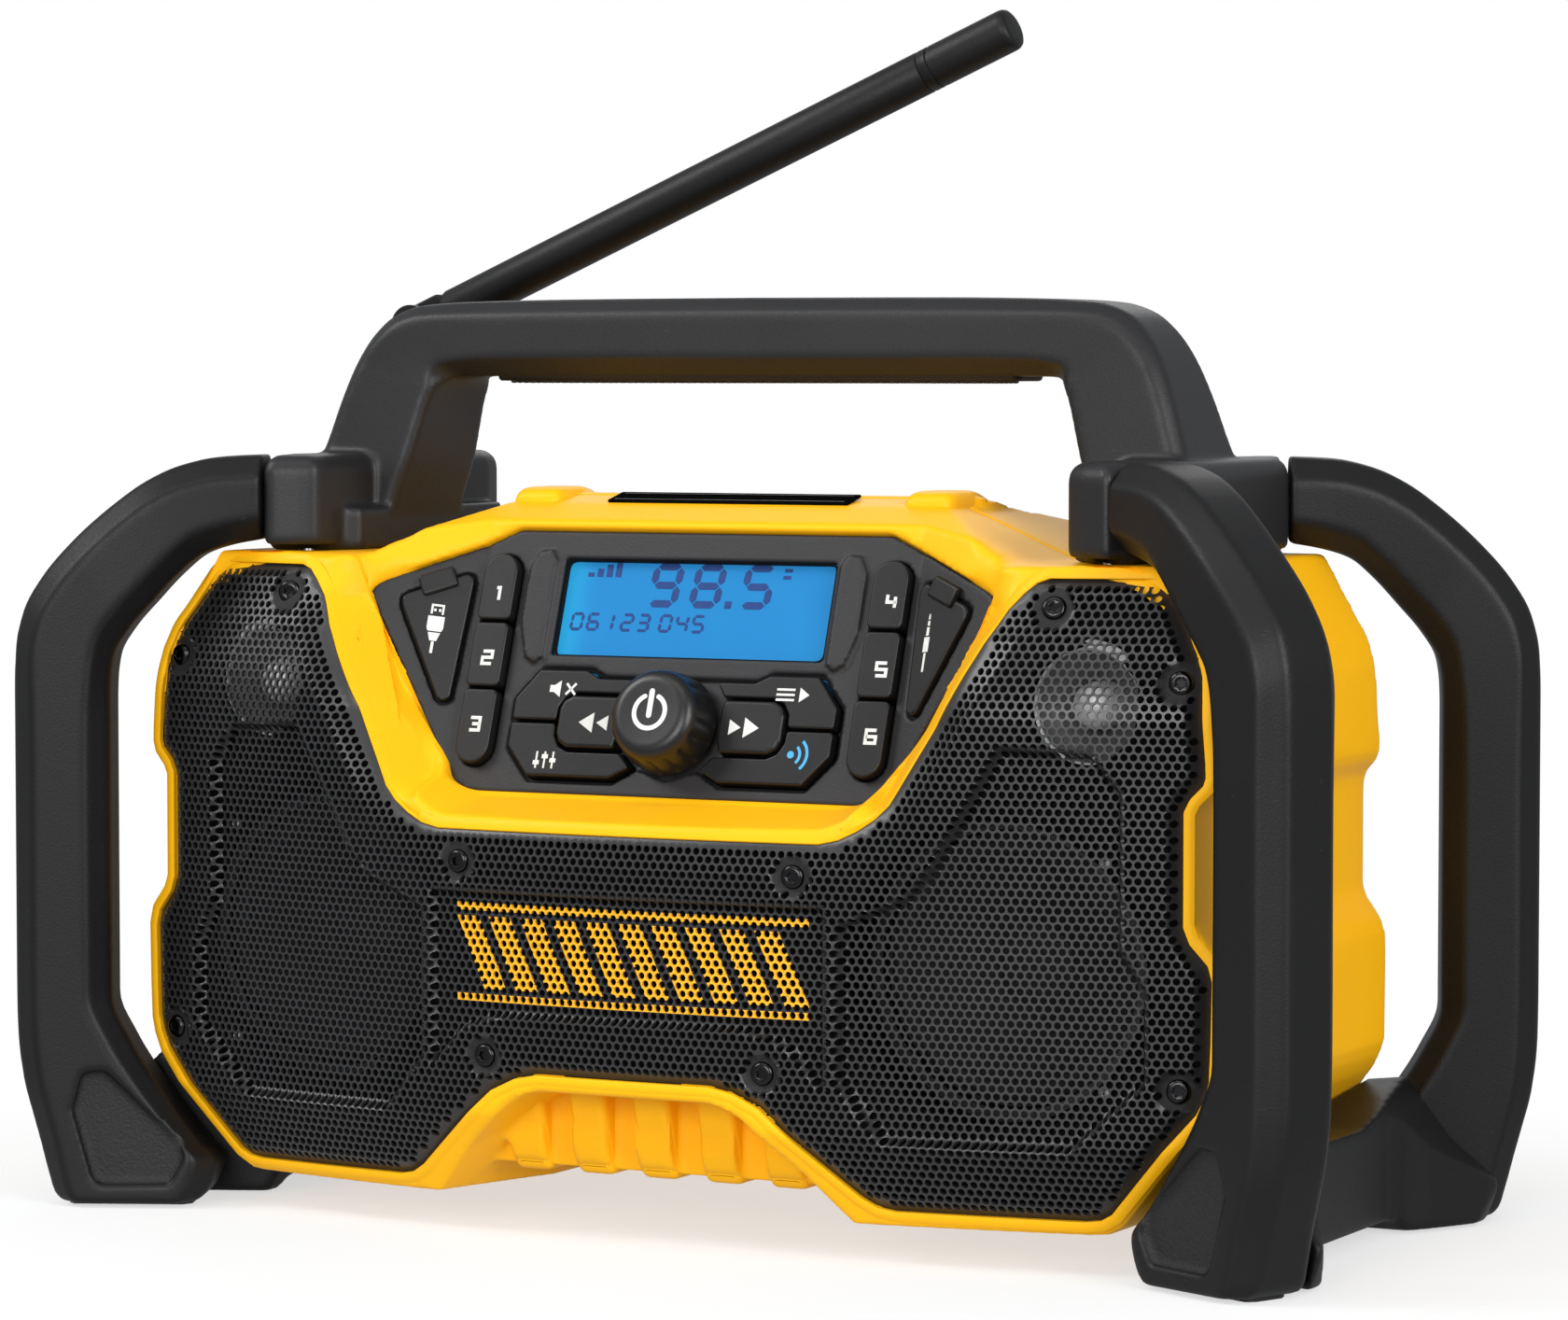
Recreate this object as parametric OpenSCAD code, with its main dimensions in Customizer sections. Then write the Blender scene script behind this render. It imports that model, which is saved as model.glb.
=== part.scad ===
// Jobsite radio: a two-part moulded body on a tubular roll cage with a carrying
// handle, perforated speaker grille, leaning control panel and folding antenna.
// Units are millimetres. +Z is up, -Y is the front, Z = 0 is the ground.

/* [Body] */
// Radius of the arc that the front face follows in plan
front_radius = 620; // [560:5:700]
// Distance from the middle plane to the crown of the front
front_y = 90; // [88:0.5:92]
// Distance from the middle plane to the crown of the back
back_y = 72; // [66:0.5:78]
// Radius of the arc that the back follows in plan
back_radius = 680; // [560:10:760]
// Thickness of the moulded walls
wall = 3; // [2.4:0.1:3.6]
// Depth of the seat that the grille lies in
grille_seat = 2.2; // [1.8:0.1:2.6]
// Thickness of the grille sheet
grille_t = 1.2; // [0.8:0.1:1.5]
// Height of the top of the body
top_z = 204.5; // [201:0.5:206]

/* [Control panel] */
// Lean of the panel back from upright, in degrees
panel_lean = 19; // [17:0.25:21]
// Forward fold of the two side wings, in degrees
wing_angle = 21; // [17:0.5:24]
// How far the preset keys stand above the panel
key_raise = 3; // [2:0.25:4]
// How far the four mode keys stand above the panel
pad_raise = 2; // [1:0.25:2.5]
// Travel of every key
key_travel = 0.9; // [0.5:0.1:1.2]
// Radius of the knob at its skirt
knob_base_r = 14.4; // [13.5:0.1:14.6]
// Radius of the knob at its face
knob_face_r = 11.4; // [10:0.1:12.5]
// Height of the knob above the panel
knob_h = 15; // [12:0.5:17]

/* [Speakers] */
// Distance of each woofer axis from the middle
woofer_x = 105; // [103:0.5:107]
// Height of the woofer axes
woofer_z = 80; // [78:0.5:82]
// Radius of the woofer frame
woofer_r = 46; // [44:0.5:47]
// Distance of each tweeter axis from the middle
tweeter_x = 127.4; // [125:0.2:129]
// Height of the tweeter axes
tweeter_z = 150.9; // [149:0.2:153]
// Radius of the tweeter frame
tweeter_r = 18; // [16:0.5:19]

/* [Cage] */
// How far the middle of each leg stands outside the side of the body
leg_gap = 18.5; // [18:0.1:20]
// Splay of each leg away from the long axis, in degrees
leg_splay = 24; // [22:0.5:26]
// Thickness of a leg across its own plane
leg_t = 28.5; // [26:0.5:30]
// Width of the flats cut on the corners of a leg
leg_c = 6.4; // [4:0.2:8]
// Height of the top of the carrying handle
handle_z = 260; // [256:0.5:264]
// Half depth of the handle bar
handle_y = 16.5; // [14:0.5:18]

/* [Antenna] */
// Length from the pivot to the tip
antenna_len = 213; // [180:1:220]
// Diameter of the rod
antenna_d = 12.6; // [10:0.2:13]
// Angle of the rod above level at rest, in degrees
antenna_rise = 23.2; // [0:0.2:90]

/* [Battery bay] */
// Half width of the bay in the back
bay_x = 40; // [38:0.5:44]
// Height of the bay floor
bay_z = 96; // [90:1:104]

/* [Hidden] */
$fn = 48;

y_split = -16;
side_x = 167.6;
leg_x = side_x + leg_gap;
bolt_r = woofer_r - 3.2;
leg_y = 80.2;
handle_shift = -4;
piv = [-134, 30, 252.6];
pz = 156.5;
py = -54;
crease = 68.5;
key_x = 61.3;
key_w = 5.3;
knob_y = -16;

// profiles: right half, from the top round to the bottom
body_half = [[146.5, 188], [152, 179], [158.7, 168.5], [161.4, 164.6], [163.6, 157], [165.2, 136],
  [165.2, 133.4], [164, 130.6], [160.8, 127], [160, 124], [160, 95], [161.5, 92], [165.9, 86.6], [167.3, 83],
  [167.6, 77], [167.3, 52], [165.8, 48], [162.9, 43.3], [138.3, 13.3], [134.2, 11], [129.7, 10.6]];
inner_half = [[144.9, 185], [149.4, 177.4], [155.9, 167.2], [158.4, 163.6], [160.6, 156.5], [162.2, 136],
  [162, 134], [158.2, 129.4], [157, 124.6], [157, 94.4], [158.8, 90.4], [163, 85.4], [164.3, 82.3],
  [164.6, 77], [164.3, 52.6], [163.2, 49.6], [160.6, 45.2], [136, 15.2], [133.2, 13.9], [129.7, 13.6]];
grille_out = [[115.3, 185.2], [141.5, 185.3], [144.1, 184], [147, 181.2], [152.4, 173.6], [158.2, 164.9],
  [160.8, 159.7], [162, 153.5], [163.4, 137], [163.5, 133.2], [162.8, 131], [159.4, 127.4], [157.9, 124.2],
  [157.9, 94.2], [159.5, 90], [164.2, 84.4], [165.3, 80], [165, 63.7], [164.6, 53.4], [163.6, 49.4],
  [161.3, 44.6], [136.8, 16.4], [133.3, 14.4], [128.8, 13.9], [76.9, 14.2], [72.2, 15.1], [67.8, 17.8],
  [41.2, 41], [33.6, 44.6], [26.7, 46]];
grille_in = [[30, 113.9], [58.8, 113.9], [64.4, 115.2], [69.3, 117.6], [74, 120.8], [77.6, 124.5],
  [89.2, 145.6], [105.9, 176.4], [109.8, 181], [112.8, 183.8]];
function mirrored(h) = concat(h, [for (i = [len(h) - 1:-1:0]) [-h[i][0], h[i][1]]]);
function unit(v) = v / norm(v);
function turn(p) = [for (i = [0:len(p) - 1]) let (a = p[i], b = p[(i + 1) % len(p)]) a[0] * b[1] - b[0] * a[1]] * [for (q = p) 1];
// an outline with each edge moved outwards by d
function swell(p, d) = let (n = len(p), s = turn(p) > 0 ? d : -d) [for (i = [0:n - 1])
  let (a = unit(p[i] - p[(i + n - 1) % n]), b = unit(p[(i + 1) % n] - p[i]), m = unit([a[1] + b[1], -a[0] - b[0]]))
  p[i] + m * s / max(0.6, m * [b[1], -b[0]])];

module along_x(x0, x1) { translate([x0, 0, 0]) rotate([90, 0, 90]) linear_extrude(x1 - x0) children(); }
module along_y(y0, y1) { translate([0, y1, 0]) rotate([90, 0, 0]) linear_extrude(y1 - y0) children(); }
module along_z(z0, z1) { translate([0, 0, z0]) linear_extrude(z1 - z0) children(); }
module both() { children(); mirror([1, 0, 0]) children(); }
module bar(y0, y1, r) { translate([0, y1, 0]) rotate([90, 0, 0]) cylinder(r = r, h = y1 - y0); }

// everything behind the front face moved back by d: an arc in plan that leans back at top and bottom
module front_env(d) {
  r = front_radius - d;
  intersection() {
    translate([0, front_radius - front_y, -60]) cylinder(r = r, h = 340, $fn = 180);
    translate([0, -front_y, 168]) rotate([-21.8, 0, 0]) translate([0, front_radius, -300])
      cylinder(r = r, h = 600, $fn = 180);
    translate([0, -front_y, 35]) rotate([20.6, 0, 0]) translate([0, front_radius, -300])
      cylinder(r = r, h = 600, $fn = 180);
  }
}
module back_env(d) { translate([0, back_y - back_radius, -60]) cylinder(r = back_radius - d, h = 340, $fn = 180); }

// panel coordinates: x across, y up the panel, z out of it
module on_panel() { translate([0, py, pz]) rotate([90 - panel_lean, 0, 0]) children(); }
module on_wing() { on_panel() translate([crease, 0, 0]) rotate([0, -wing_angle, 0]) children(); }
module behind(o) {
  on_panel() translate([-crease, -110, o - 60]) cube([2 * crease, 200, 60]);
  both() on_wing() translate([-30, -110, o - 60]) cube([80, 200, 60]);
}
module plate(z0, z1) { on_panel() translate([0, 0, z0]) linear_extrude(z1 - z0) children(); }
module wplate(z0, z1) { on_wing() translate([0, 0, z0]) linear_extrude(z1 - z0) children(); }
centre_pts = [[58.5, 40.1], [68.5, 35.4], [68.5, -31.6], [67, -34], [63, -35.7], [58, -36.2]];
wing_pts = [[-1.6, 35], [0.6, 35.1], [27.5, 21.8], [30.2, 19.6], [31, 17.6], [30, 15.6], [0.6, -30.7], [-1.6, -31]];

// solid pieces of the body before hollowing
module recess(g) {
  hull() {
    along_y(-101, -100) polygon(mirrored([[104 + g, 240], [102.3 + g, 192], [72 + g, 121.5 - g], [66.5 + g, 116.5 - g], [60, 114.4 - g]]));
    along_y(-41, -40) polygon(mirrored([[97 + g, 240], [96.9 + g, 174], [61.5 + g, 131 - g], [57 + g, 128.3 - g], [50, 127.1 - g]]));
  }
}
module arch(g) {
  hull() {
    along_y(-101, -100) polygon(mirrored([[26 + g / 2, 43.2 + g], [31 + g, 42.4 + g], [38 + g, 38.6 + g], [66 + g, 14 + g / 2], [71 + g, 11.2], [78 + g, 2], ]));
    along_y(-66.1 + g, -66 + g) polygon(mirrored([[26 + g / 2, 40 + g], [30 + g, 39 + g], [35 + g, 36 + g], [58 + g, 14 + g / 2], [61 + g, 11.2], [66 + g, 2]]));
  }
}
module belly() {
  hull() {
    along_y(-66.1, -66) polygon(mirrored([[54, 18.5], [61, 11.2], [66, 2]]));
    along_y(-35.1, -35) polygon(mirrored([[46, 18.5], [51, 11.2], [56, 2]]));
  }
  along_y(-35.1, 90) polygon(mirrored([[46, 18.5], [51, 11.2], [56, 2]]));
}
// the raised middle of the body: a brow leans back from the panel, and the top falls away to the back
module head(g) {
  intersection() {
    along_y(-95, 90) polygon(mirrored([[60, top_z - 1.1 * g], [65 - 0.3 * g, top_z - 0.6 - 1.1 * g], [103.5 - 1.1 * g, 187.4 - 0.6 * g], [106 - g, 184 - g], [106 - g, 150], [83 - g, 106]]));
    along_x(-112, 112) polygon([[-95, 100], [80, 100], [80, top_z - 17.2 - g], [-8, top_z - g], [-14, top_z - g], [-28, top_z - 2.4 - g], [-42, top_z - 7.5 - g], [-60, top_z - 14 - g], [-95, top_z - 20]]);
  }
}

module front_housing() {
  color("gold") {
    difference() {
      union() {
        difference() {
          intersection() { along_y(-100, y_split) polygon(mirrored(body_half)); front_env(0); }
          recess(0);
          arch(0);
        }
        intersection() { head(0); behind(1.5); along_y(-95, y_split) square([240, 480], center = true); }
        // posts that the back is screwed to
        for (p = post_spots) both() translate([p[0], 0, p[1]]) bar(y_split - 10, 34, 4.5);
        // grip ribs under the arch
        intersection() {
          for (i = [-2:2]) translate([20 * i, 0, 0]) {
            along_x(-5.5, 5.5) polygon([[-60, 44], [-71.5, 44], [-71.5, 25], [-70, 21], [-66.5, 18.6], [-60, 18.6]]);
          }
          along_y(-80, -60) polygon(mirrored([[40, 43], [60, 14]]));
        }
        both() intersection() { translate([woofer_x, 0, woofer_z]) bar(-100, -65, woofer_r + 2); front_env(grille_seat); }
        both() intersection() { translate([tweeter_x, 0, tweeter_z]) bar(-100, -63, tweeter_r + 1.5); front_env(grille_seat); }
      }
      // seat for the grille
      difference() {
        along_y(-101, -40) polygon(around(grille_out, grille_in));
        front_env(grille_seat);
      }
      // hollow
      difference() {
        intersection() { along_y(-100, y_split + 1) polygon(mirrored(concat(inner_half, [[67, 13.6], [60, 22]]))); front_env(grille_seat + wall); }
        recess(wall);
        arch(wall);
        both() translate([woofer_x, 0, woofer_z]) bar(-100, -65, woofer_r + 2);
        both() translate([tweeter_x, 0, tweeter_z]) bar(-100, -63, tweeter_r + 1.5);
        for (p = grille_spots) both() translate([p[0], 0, p[1]]) bar(-100, -60, 4);
        for (p = post_spots) both() translate([p[0], 0, p[1]]) bar(-100, 0, 4.5);
        for (p = board_spots) both() translate([p[0], 0, p[1]]) bar(-100, -30, 4);
      }
      belly();
      // hollow behind the panel
      intersection() { head(wall); behind(-3 - wall); along_y(-80, y_split + 1) square([240, 480], center = true); }
      // seat and window for the control panel
      plate(-3, 30) polygon(mirrored([[58.7, 40.4], [68.6, 35.7], [68.6, -31.8], [67.2, -34.2], [63.1, -36], [58.1, -36.5]]));
      both() wplate(-3, 30) polygon([[-2, 35.9], [0, 35.7], [27.7, 22.1], [30.5, 19.8], [31.3, 17.6], [30.2, 15.4], [0, -32], [-2, -33]]);
      plate(-9, 0) polygon(mirrored([[56, 36.5], [68.6, 30.4], [68.6, -27.2], [60, -33.7]]));
      both() wplate(-9, 0) polygon([[-4, 30.4], [3, 29], [24, 18.2], [26, 16], [-4, -27.2]]);
      // speaker holes
      both() translate([woofer_x, 0, woofer_z]) bar(-101, -60, woofer_r - 5.5);
      both() translate([tweeter_x, 0, tweeter_z]) bar(-101, -60, tweeter_r - 2.5);
      for (p = grille_spots) both() translate([p[0], 0, p[1]]) bar(-101, -61, 1.2);
      for (p = post_spots) both() translate([p[0], 0, p[1]]) bar(14, 35, 1.2);
      for (p = board_spots) both() translate([p[0], 0, p[1]]) bar(-40, -29, 1.2);
      for (y = frame_ys) if (y < 0) both() translate([126, y, 180]) cylinder(r = 2.2, h = 12);
      for (a = [45:90:315]) both() translate([woofer_x, 0, woofer_z]) translate([bolt_r * cos(a), 0, bolt_r * sin(a)]) bar(-72, -60, 1.2);
    }
  }
}
// an outline that passes round the panel: its outer half, the same mirrored, and its inner edge
function around(o, i) = concat(o, flipx([for (k = [len(o) - 1:-1:0]) o[k]]), flipx([for (k = [len(i) - 1:-1:0]) i[k]]), i);
post_spots = [[134, 176], [152.3, 109], [134, 34], [66, 36]];
board_spots = [[50, 66], [50, 110]];
frame_ys = [-47, -30, 30, 45];
grille_spots = [[119.1, 176.8], [155.6, 157.9], [156.3, 51.1], [51.8, 104.5], [43, 51.2]];
// height of the front face over the plan arc at x, z
function face_y(x, z) = -front_y + x * x / (2 * front_radius) + (z > 168 ? 0.4 * (z - 168) : 0) + (z < 35 ? 0.376 * (35 - z) : 0);

module rear_housing() {
  color("gold") {
    difference() {
      union() {
        intersection() { along_y(y_split, 90) polygon(mirrored(body_half)); back_env(0); }
        intersection() { head(0); along_y(y_split, 90) square([240, 480], center = true); back_env(0); }
        // rounded rails on the top edge
        both() translate([62, 0, 0]) intersection() {
          along_y(y_split + 0.2, 42) polygon([[-11.5, 188], [-11.5, 201.8], [-10.6, 203.8], [-8.4, 205.6], [-5.6, 206.3], [5.6, 206.3], [8.4, 205.6], [10.6, 203.8], [11.5, 201.8], [11.5, 188]]);
          along_x(-12, 12) polygon([[-18, 188], [42, 188], [42, 196.4], [-3, 206.2], [-10, 206.3], [-14, 205.7], [-16.6, 203.7], [-17.8, 200]]);
          union() { translate([0, -6.2, 180]) cylinder(r = 9.6, h = 30); translate([-10, -6.2, 180]) cube([20, 60, 30]); }
        }
      }
      // hollow
      difference() {
        intersection() {
          along_y(y_split - 1, 90) polygon(mirrored(concat(inner_half, [[58, 13.6], [51, 22]])));
          back_env(wall);
        }
        translate([-bay_x - wall, 33 - wall, bay_z - wall]) cube([2 * bay_x + 2 * wall, 80, 200]);
        for (p = post_spots) both() translate([p[0], 0, p[1]]) bar(34.2, 90, 5.8);
      }
      difference() {
        intersection() { head(wall); along_y(y_split - 1, 90) square([240, 480], center = true); back_env(wall); }
        translate([-bay_x - wall, 33 - wall, bay_z - wall]) cube([2 * bay_x + 2 * wall, 80, 200]);
      }
      belly();
      // battery bay, open at the top and the back
      difference() {
        translate([-bay_x, 33, bay_z]) cube([2 * bay_x, 80, 200]);
        both() translate([bay_x - 5, 42, bay_z - 1]) cube([6, 6, 92]);
      }
      // round seat for the power jack
      translate([100, 0, 60]) bar(40, 90, 5);
      for (p = post_spots) both() translate([p[0], 0, p[1]]) { bar(30, 90, 1.8); bar(40.2, 90, 3.9); }
      for (y = frame_ys) if (y > 0) both() translate([126, y, 180]) cylinder(r = 2.2, h = 12);
    }
  }
}

module front_grille() {
  color("dimgray") difference() {
    intersection() { along_y(-100, -40) polygon(around(grille_out, grille_in)); front_env(grille_seat - grille_t - 0.05); }
    front_env(grille_seat - 0.05);
    for (p = grille_spots) both() translate([p[0], 0, p[1]]) {
      bar(-101, -50, 1.8);
      bar(-101, screw_y(p) - 0.05, 3.9);
    }
  }
}
function screw_y(p) = face_y(p[0], p[1]) + grille_seat - grille_t - 0.1;
module grille_screws() {
  color("black") for (p = grille_spots) both() {
    y = screw_y(p);
    translate([p[0], 0, p[1]]) difference() {
      union() { bar(y - 1.9, y - 0.1, 3.4); bar(y - 0.2, y + 11, 1.5); }
      bar(y - 2, y - 0.9, 1.3);
    }
  }
}
module speaker_screws() {
  color("silver") for (a = [45:90:315]) both() translate([woofer_x, 0, woofer_z]) translate([bolt_r * cos(a), 0, bolt_r * sin(a)]) {
    bar(-62.45, -60.9, 2.3);
    bar(-71, -62.4, 1.5);
  }
}
module housing_screws() {
  color("black") for (p = post_spots) both() translate([p[0], 0, p[1]]) {
    bar(40.2, 42.4, 3.4);
    bar(18, 40.3, 1.5);
  }
}

// ---- control panel ----
module key_rect(x, y0, y1, top, bot, w) {
  // a key in the column at x, round at its free end
  union() {
    translate([x - w, y0 + (bot ? w : 0)]) square([2 * w, y1 - y0 - (bot ? w : 0) - (top ? w : 0)]);
    if (top) translate([x, y1 - w]) circle(r = w);
    if (bot) translate([x, y0 + w]) circle(r = w);
  }
}
ul_pts = [[-43.6, -1.1], [-28.8, -1.1], [-24.3, -3.3], [-12.6, -3.3], [-15.4, -7.5], [-31, -7.5], [-34.2, -9], [-36, -12], [-36.2, -15.6], [-50.3, -15.6], [-50.3, -9.6]];
ll_pts = [[-50.3, -16.5], [-36.2, -16.5], [-36, -20], [-34.2, -23.1], [-31, -24.5], [-14.8, -24.5], [-10.6, -28.4], [-17, -31.7], [-43, -31.7], [-50.3, -23.4]];
pill_pts = [[-35.1, -12.4], [-34, -10], [-31.4, -8.5], [-16.4, -8.5], [-15.5, -12], [-15.3, -16], [-15.5, -20], [-16.4, -23.5], [-31.4, -23.5], [-34, -22], [-35.1, -19.6]];
pad_pts = [[-44.2, 0.3], [-28.2, 0.3], [-23.6, -2], [-10, -2], [10, -2], [23.6, -2], [28.2, 0.3], [44.2, 0.3], [51.7, -9.1], [51.7, -23.8], [43.5, -33.1], [16.6, -33.1], [9.2, -28.6], [0, -31.6], [-9.2, -28.6], [-16.6, -33.1], [-43.5, -33.1], [-51.7, -23.8], [-51.7, -9.1]];
flap_pts = [[3.4, -10.4], [5.6, -11.6], [7.4, -10.6], [21.4, 14.6], [21.8, 17.2], [20.2, 18.6], [4.6, 26], [2.6, 25.6], [2, 23.8]];
function grow(p, c, k) = [for (q = p) [c[0] + (q[0] - c[0]) * k, c[1] + (q[1] - c[1]) * k]];
function flipx(p) = [for (q = p) [-q[0], q[1]]];

panel_posts = [[50.6, 32.6], [53.2, -29]];
module control_panel() {
  color("darkslategray") difference() {
    union() {
      plate(-3, 0) polygon(mirrored(centre_pts));
      both() wplate(-3, 0) polygon(wing_pts);
      // ridges beside the display
      both() plate(-1, 1.6) polygon([[44.6, 3], [47, 1], [50, 3], [52.8, 12], [52.8, 29], [50.5, 33.6], [46.5, 34], [44.6, 31]]);
      for (p = panel_posts) both() on_panel() translate([p[0], p[1], -13]) cylinder(r = 2.8, h = 11);
    }
    plate(-4, 2) translate([-42.7, 3.8]) square([85.4, 28.4]);
    for (i = [-1, 1]) plate(-4, 1) key_rect(i * key_x, -29.4, 32.7, true, true, key_w + 0.35);
    // pad, open under each key
    plate(-1.6, 1) polygon(pad_pts);
    both() plate(-4, 1) polygon(swell(ul_pts, 0.3));
    both() plate(-4, 1) polygon(swell(ll_pts, 0.3));
    both() plate(-4, 1) polygon(swell(pill_pts, 0.35));
    on_panel() translate([0, knob_y, -5]) cylinder(r = 5, h = 10);
    // flap pockets, open for the sockets
    both() wplate(-2, 1) polygon(swell(flap_pts, 0.8));
    mirror([1, 0, 0]) on_wing() translate([9.5 - 3.75, 10 - 7.55, -9]) cube([7.5, 15.1, 20]);
    on_wing() translate([9.5, 10, -9]) cylinder(r = 4.4, h = 20);
    for (p = panel_posts) both() on_panel() translate([p[0], p[1], -14]) cylinder(r = 1.2, h = 12);
  }
}
module display_lens() {
  color("skyblue") plate(-2.9, -1.6) translate([-42.5, 4]) square([85, 28]);
}
module lcd_module() {
  color("lightblue") plate(-13, -3.2) translate([-46, 1.4]) square([92, 33]);
}
module key_membrane() {
  // rubber sheet on the board with a post under each key
  color("dimgray") {
    difference() {
      plate(-13, -12) polygon([[-49.8, 0.6], [49.8, 0.6], [49.8, -4], [56, -4], [56, 31], [65.6, 31], [65.6, -28], [58, -28], [56, -24], [49.8, -22], [49.8, -32], [-49.8, -32],
        [-49.8, -22], [-56, -24], [-58, -28], [-65.6, -28], [-65.6, 31], [-56, 31], [-56, -4], [-49.8, -4]]);
      on_panel() translate([0, knob_y, -14]) cylinder(r = 9.6, h = 8);
    }
    for (i = [-1, 1]) {
      for (y = [22, 2.6, -18]) on_panel() translate([i * key_x - 2.5, y - 4, -12.1]) cube([5, 8, 6.7]);
      for (p = [[43, -8.5], [43, -24], [25, -16]]) on_panel() translate([i * p[0] - 3, p[1] - 3, -12.1]) cube([6, 6, 6.7]);
    }
  }
}
module preset(i, r) {
  // r counts keys down the column from the top
  y1 = r == 0 ? 32.3 : (r == 1 ? 12 : -7.5);
  y0 = r == 0 ? 12.9 : (r == 1 ? -6.6 : -29);
  color("black") {
    plate(-3.4, key_raise) key_rect(i * key_x, y0, y1, r == 0, r == 2, key_w);
    plate(-4.3, -3.3) translate([i * key_x - 6.2, y0 + (r == 2 ? 4 : 0)]) square([12.4, y1 - y0 - (r == 1 ? 0 : 4)]);
  }
}
module preset_1() { preset(-1, 0); }
module preset_2() { preset(-1, 1); }
module preset_3() { preset(-1, 2); }
module preset_4() { preset(1, 0); }
module preset_5() { preset(1, 1); }
module preset_6() { preset(1, 2); }
module mode_key(p, c) { plate(-3.4, pad_raise) polygon(p); plate(-4.3, -3.3) polygon(grow(p, c, 1.06)); }
module skip_key() { plate(-3.4, key_raise) polygon(pill_pts); plate(-4.3, -3.3) polygon([[-33, -10.5], [-12.6, -10.5], [-12.6, -21.5], [-33, -21.5]]); }
module upper_left_key() { color("black") mode_key(ul_pts, [-36, -15.6]); }
module lower_left_key() { color("black") mode_key(ll_pts, [-36, -16.5]); }
module upper_right_key() { color("black") mirror([1, 0, 0]) mode_key(ul_pts, [-36, -15.6]); }
module lower_right_key() { color("black") mirror([1, 0, 0]) mode_key(ll_pts, [-36, -16.5]); }
module skip_back_key() { color("black") skip_key(); }
module skip_forward_key() { color("black") mirror([1, 0, 0]) skip_key(); }

module volume_knob() {
  color("black") on_panel() translate([0, knob_y, 0]) difference() {
    rotate_extrude($fn = 64) polygon([[3.1, 1.8], [knob_base_r - 0.6, 1.8], [knob_base_r, 2.6], [knob_base_r - 0.3, 6],
      [knob_face_r + 1.6, knob_h - 3.4], [knob_face_r, knob_h - 0.9], [knob_face_r - 1.6, knob_h], [0, knob_h], [0, 12.2], [3.1, 12.2]]);
    difference() { translate([0, 0, 1]) cylinder(r = 11, h = 6); cylinder(r = 5.4, h = 8); }
  }
}
module encoder_shaft() { color("silver") on_panel() translate([0, knob_y, 0]) { translate([0, 0, -9]) cylinder(r = 3.1, h = 21.2); } }
module encoder_plunger() {
  color("white") on_panel() translate([0, knob_y, 0]) { translate([0, 0, -11.4]) cylinder(r = 2.4, h = 2.35); }
}
module encoder_body() {
  color("slategray") on_panel() translate([0, knob_y, 0]) difference() {
    union() {
      translate([-6.6, -6.6, -13]) cube([13.2, 13.2, 7.2]);
      translate([0, 0, -6.1]) cylinder(r = 4.3, h = 5.1);
    }
    translate([0, 0, -12.6]) cylinder(r = 3.15, h = 20);
  }
}
module panel_board() {
  color("darkgreen") difference() {
    plate(-14.6, -13) polygon(mirrored([[56, 35.4], [66, 31.4], [66, -28.6], [60, -32.2]]));
    for (p = panel_posts) both() on_panel() translate([p[0], p[1], -16]) cylinder(r = 1.6, h = 5);
  }
}
module door() {
  wplate(-1.9, 1) polygon(flap_pts);
  // lift tab on the upper edge
  on_wing() translate([11.5, 21.4, 0.4]) rotate([0, 0, -25]) translate([-4.6, -1.8, 0]) cube([9.2, 5, 2]);
}
module usb_door() { color("black") mirror([1, 0, 0]) door(); }
module aux_door() { color("black") door(); }
module usb_socket() {
  color("silver") mirror([1, 0, 0]) on_wing() translate([9.5, 10, 0]) difference() {
    union() {
      translate([-3.6, -7.4, -16]) cube([7.2, 14.8, 13.8]);
      translate([-5.4, -9.2, -4.2]) cube([10.8, 18.4, 1.15]);
    }
    translate([-2.9, -6.6, -14]) cube([5.8, 13.2, 14]);
    translate([-2.1, -5.9, -14]) cube([1.8, 11.8, 8]);
  }
}
module aux_jack() {
  color("gray") on_wing() translate([9.5, 10, 0]) difference() {
    union() {
      translate([0, 0, -6.5]) cylinder(r = 4.3, h = 4.3);
      translate([0, 0, -4.2]) cylinder(r = 6.2, h = 1.15);
      translate([-5, -6, -17]) cube([10, 12, 10.6]);
    }
    translate([0, 0, -15]) cylinder(r = 1.8, h = 16);
  }
}

// ---- inside ----
module main_board() {
  color("darkgreen") difference() {
    union() {
      along_y(-30, -28.4) polygon([[-62, 58], [62, 58], [62, 118], [-62, 118]]);
      along_y(-28.5, -18) polygon([[-36, 70], [-11, 70], [-11, 100], [-36, 100]]);
      along_y(-28.5, -20) polygon([[10, 72], [34, 72], [34, 92], [10, 92]]);
    }
    for (p = board_spots) both() translate([p[0], 0, p[1]]) bar(-35, -20, 1.6);
  }
}
module board_screws() {
  color("silver") both() {
    for (p = board_spots) translate([p[0], 0, p[1]]) { bar(-28.4, -26.8, 2.8); bar(-38, -28.3, 1.5); }
    for (p = panel_posts) on_panel() translate([p[0], p[1], 0]) { translate([0, 0, -16.2]) cylinder(r = 2.6, h = 1.6); translate([0, 0, -14.7]) cylinder(r = 1.5, h = 8); }
  }
}
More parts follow.
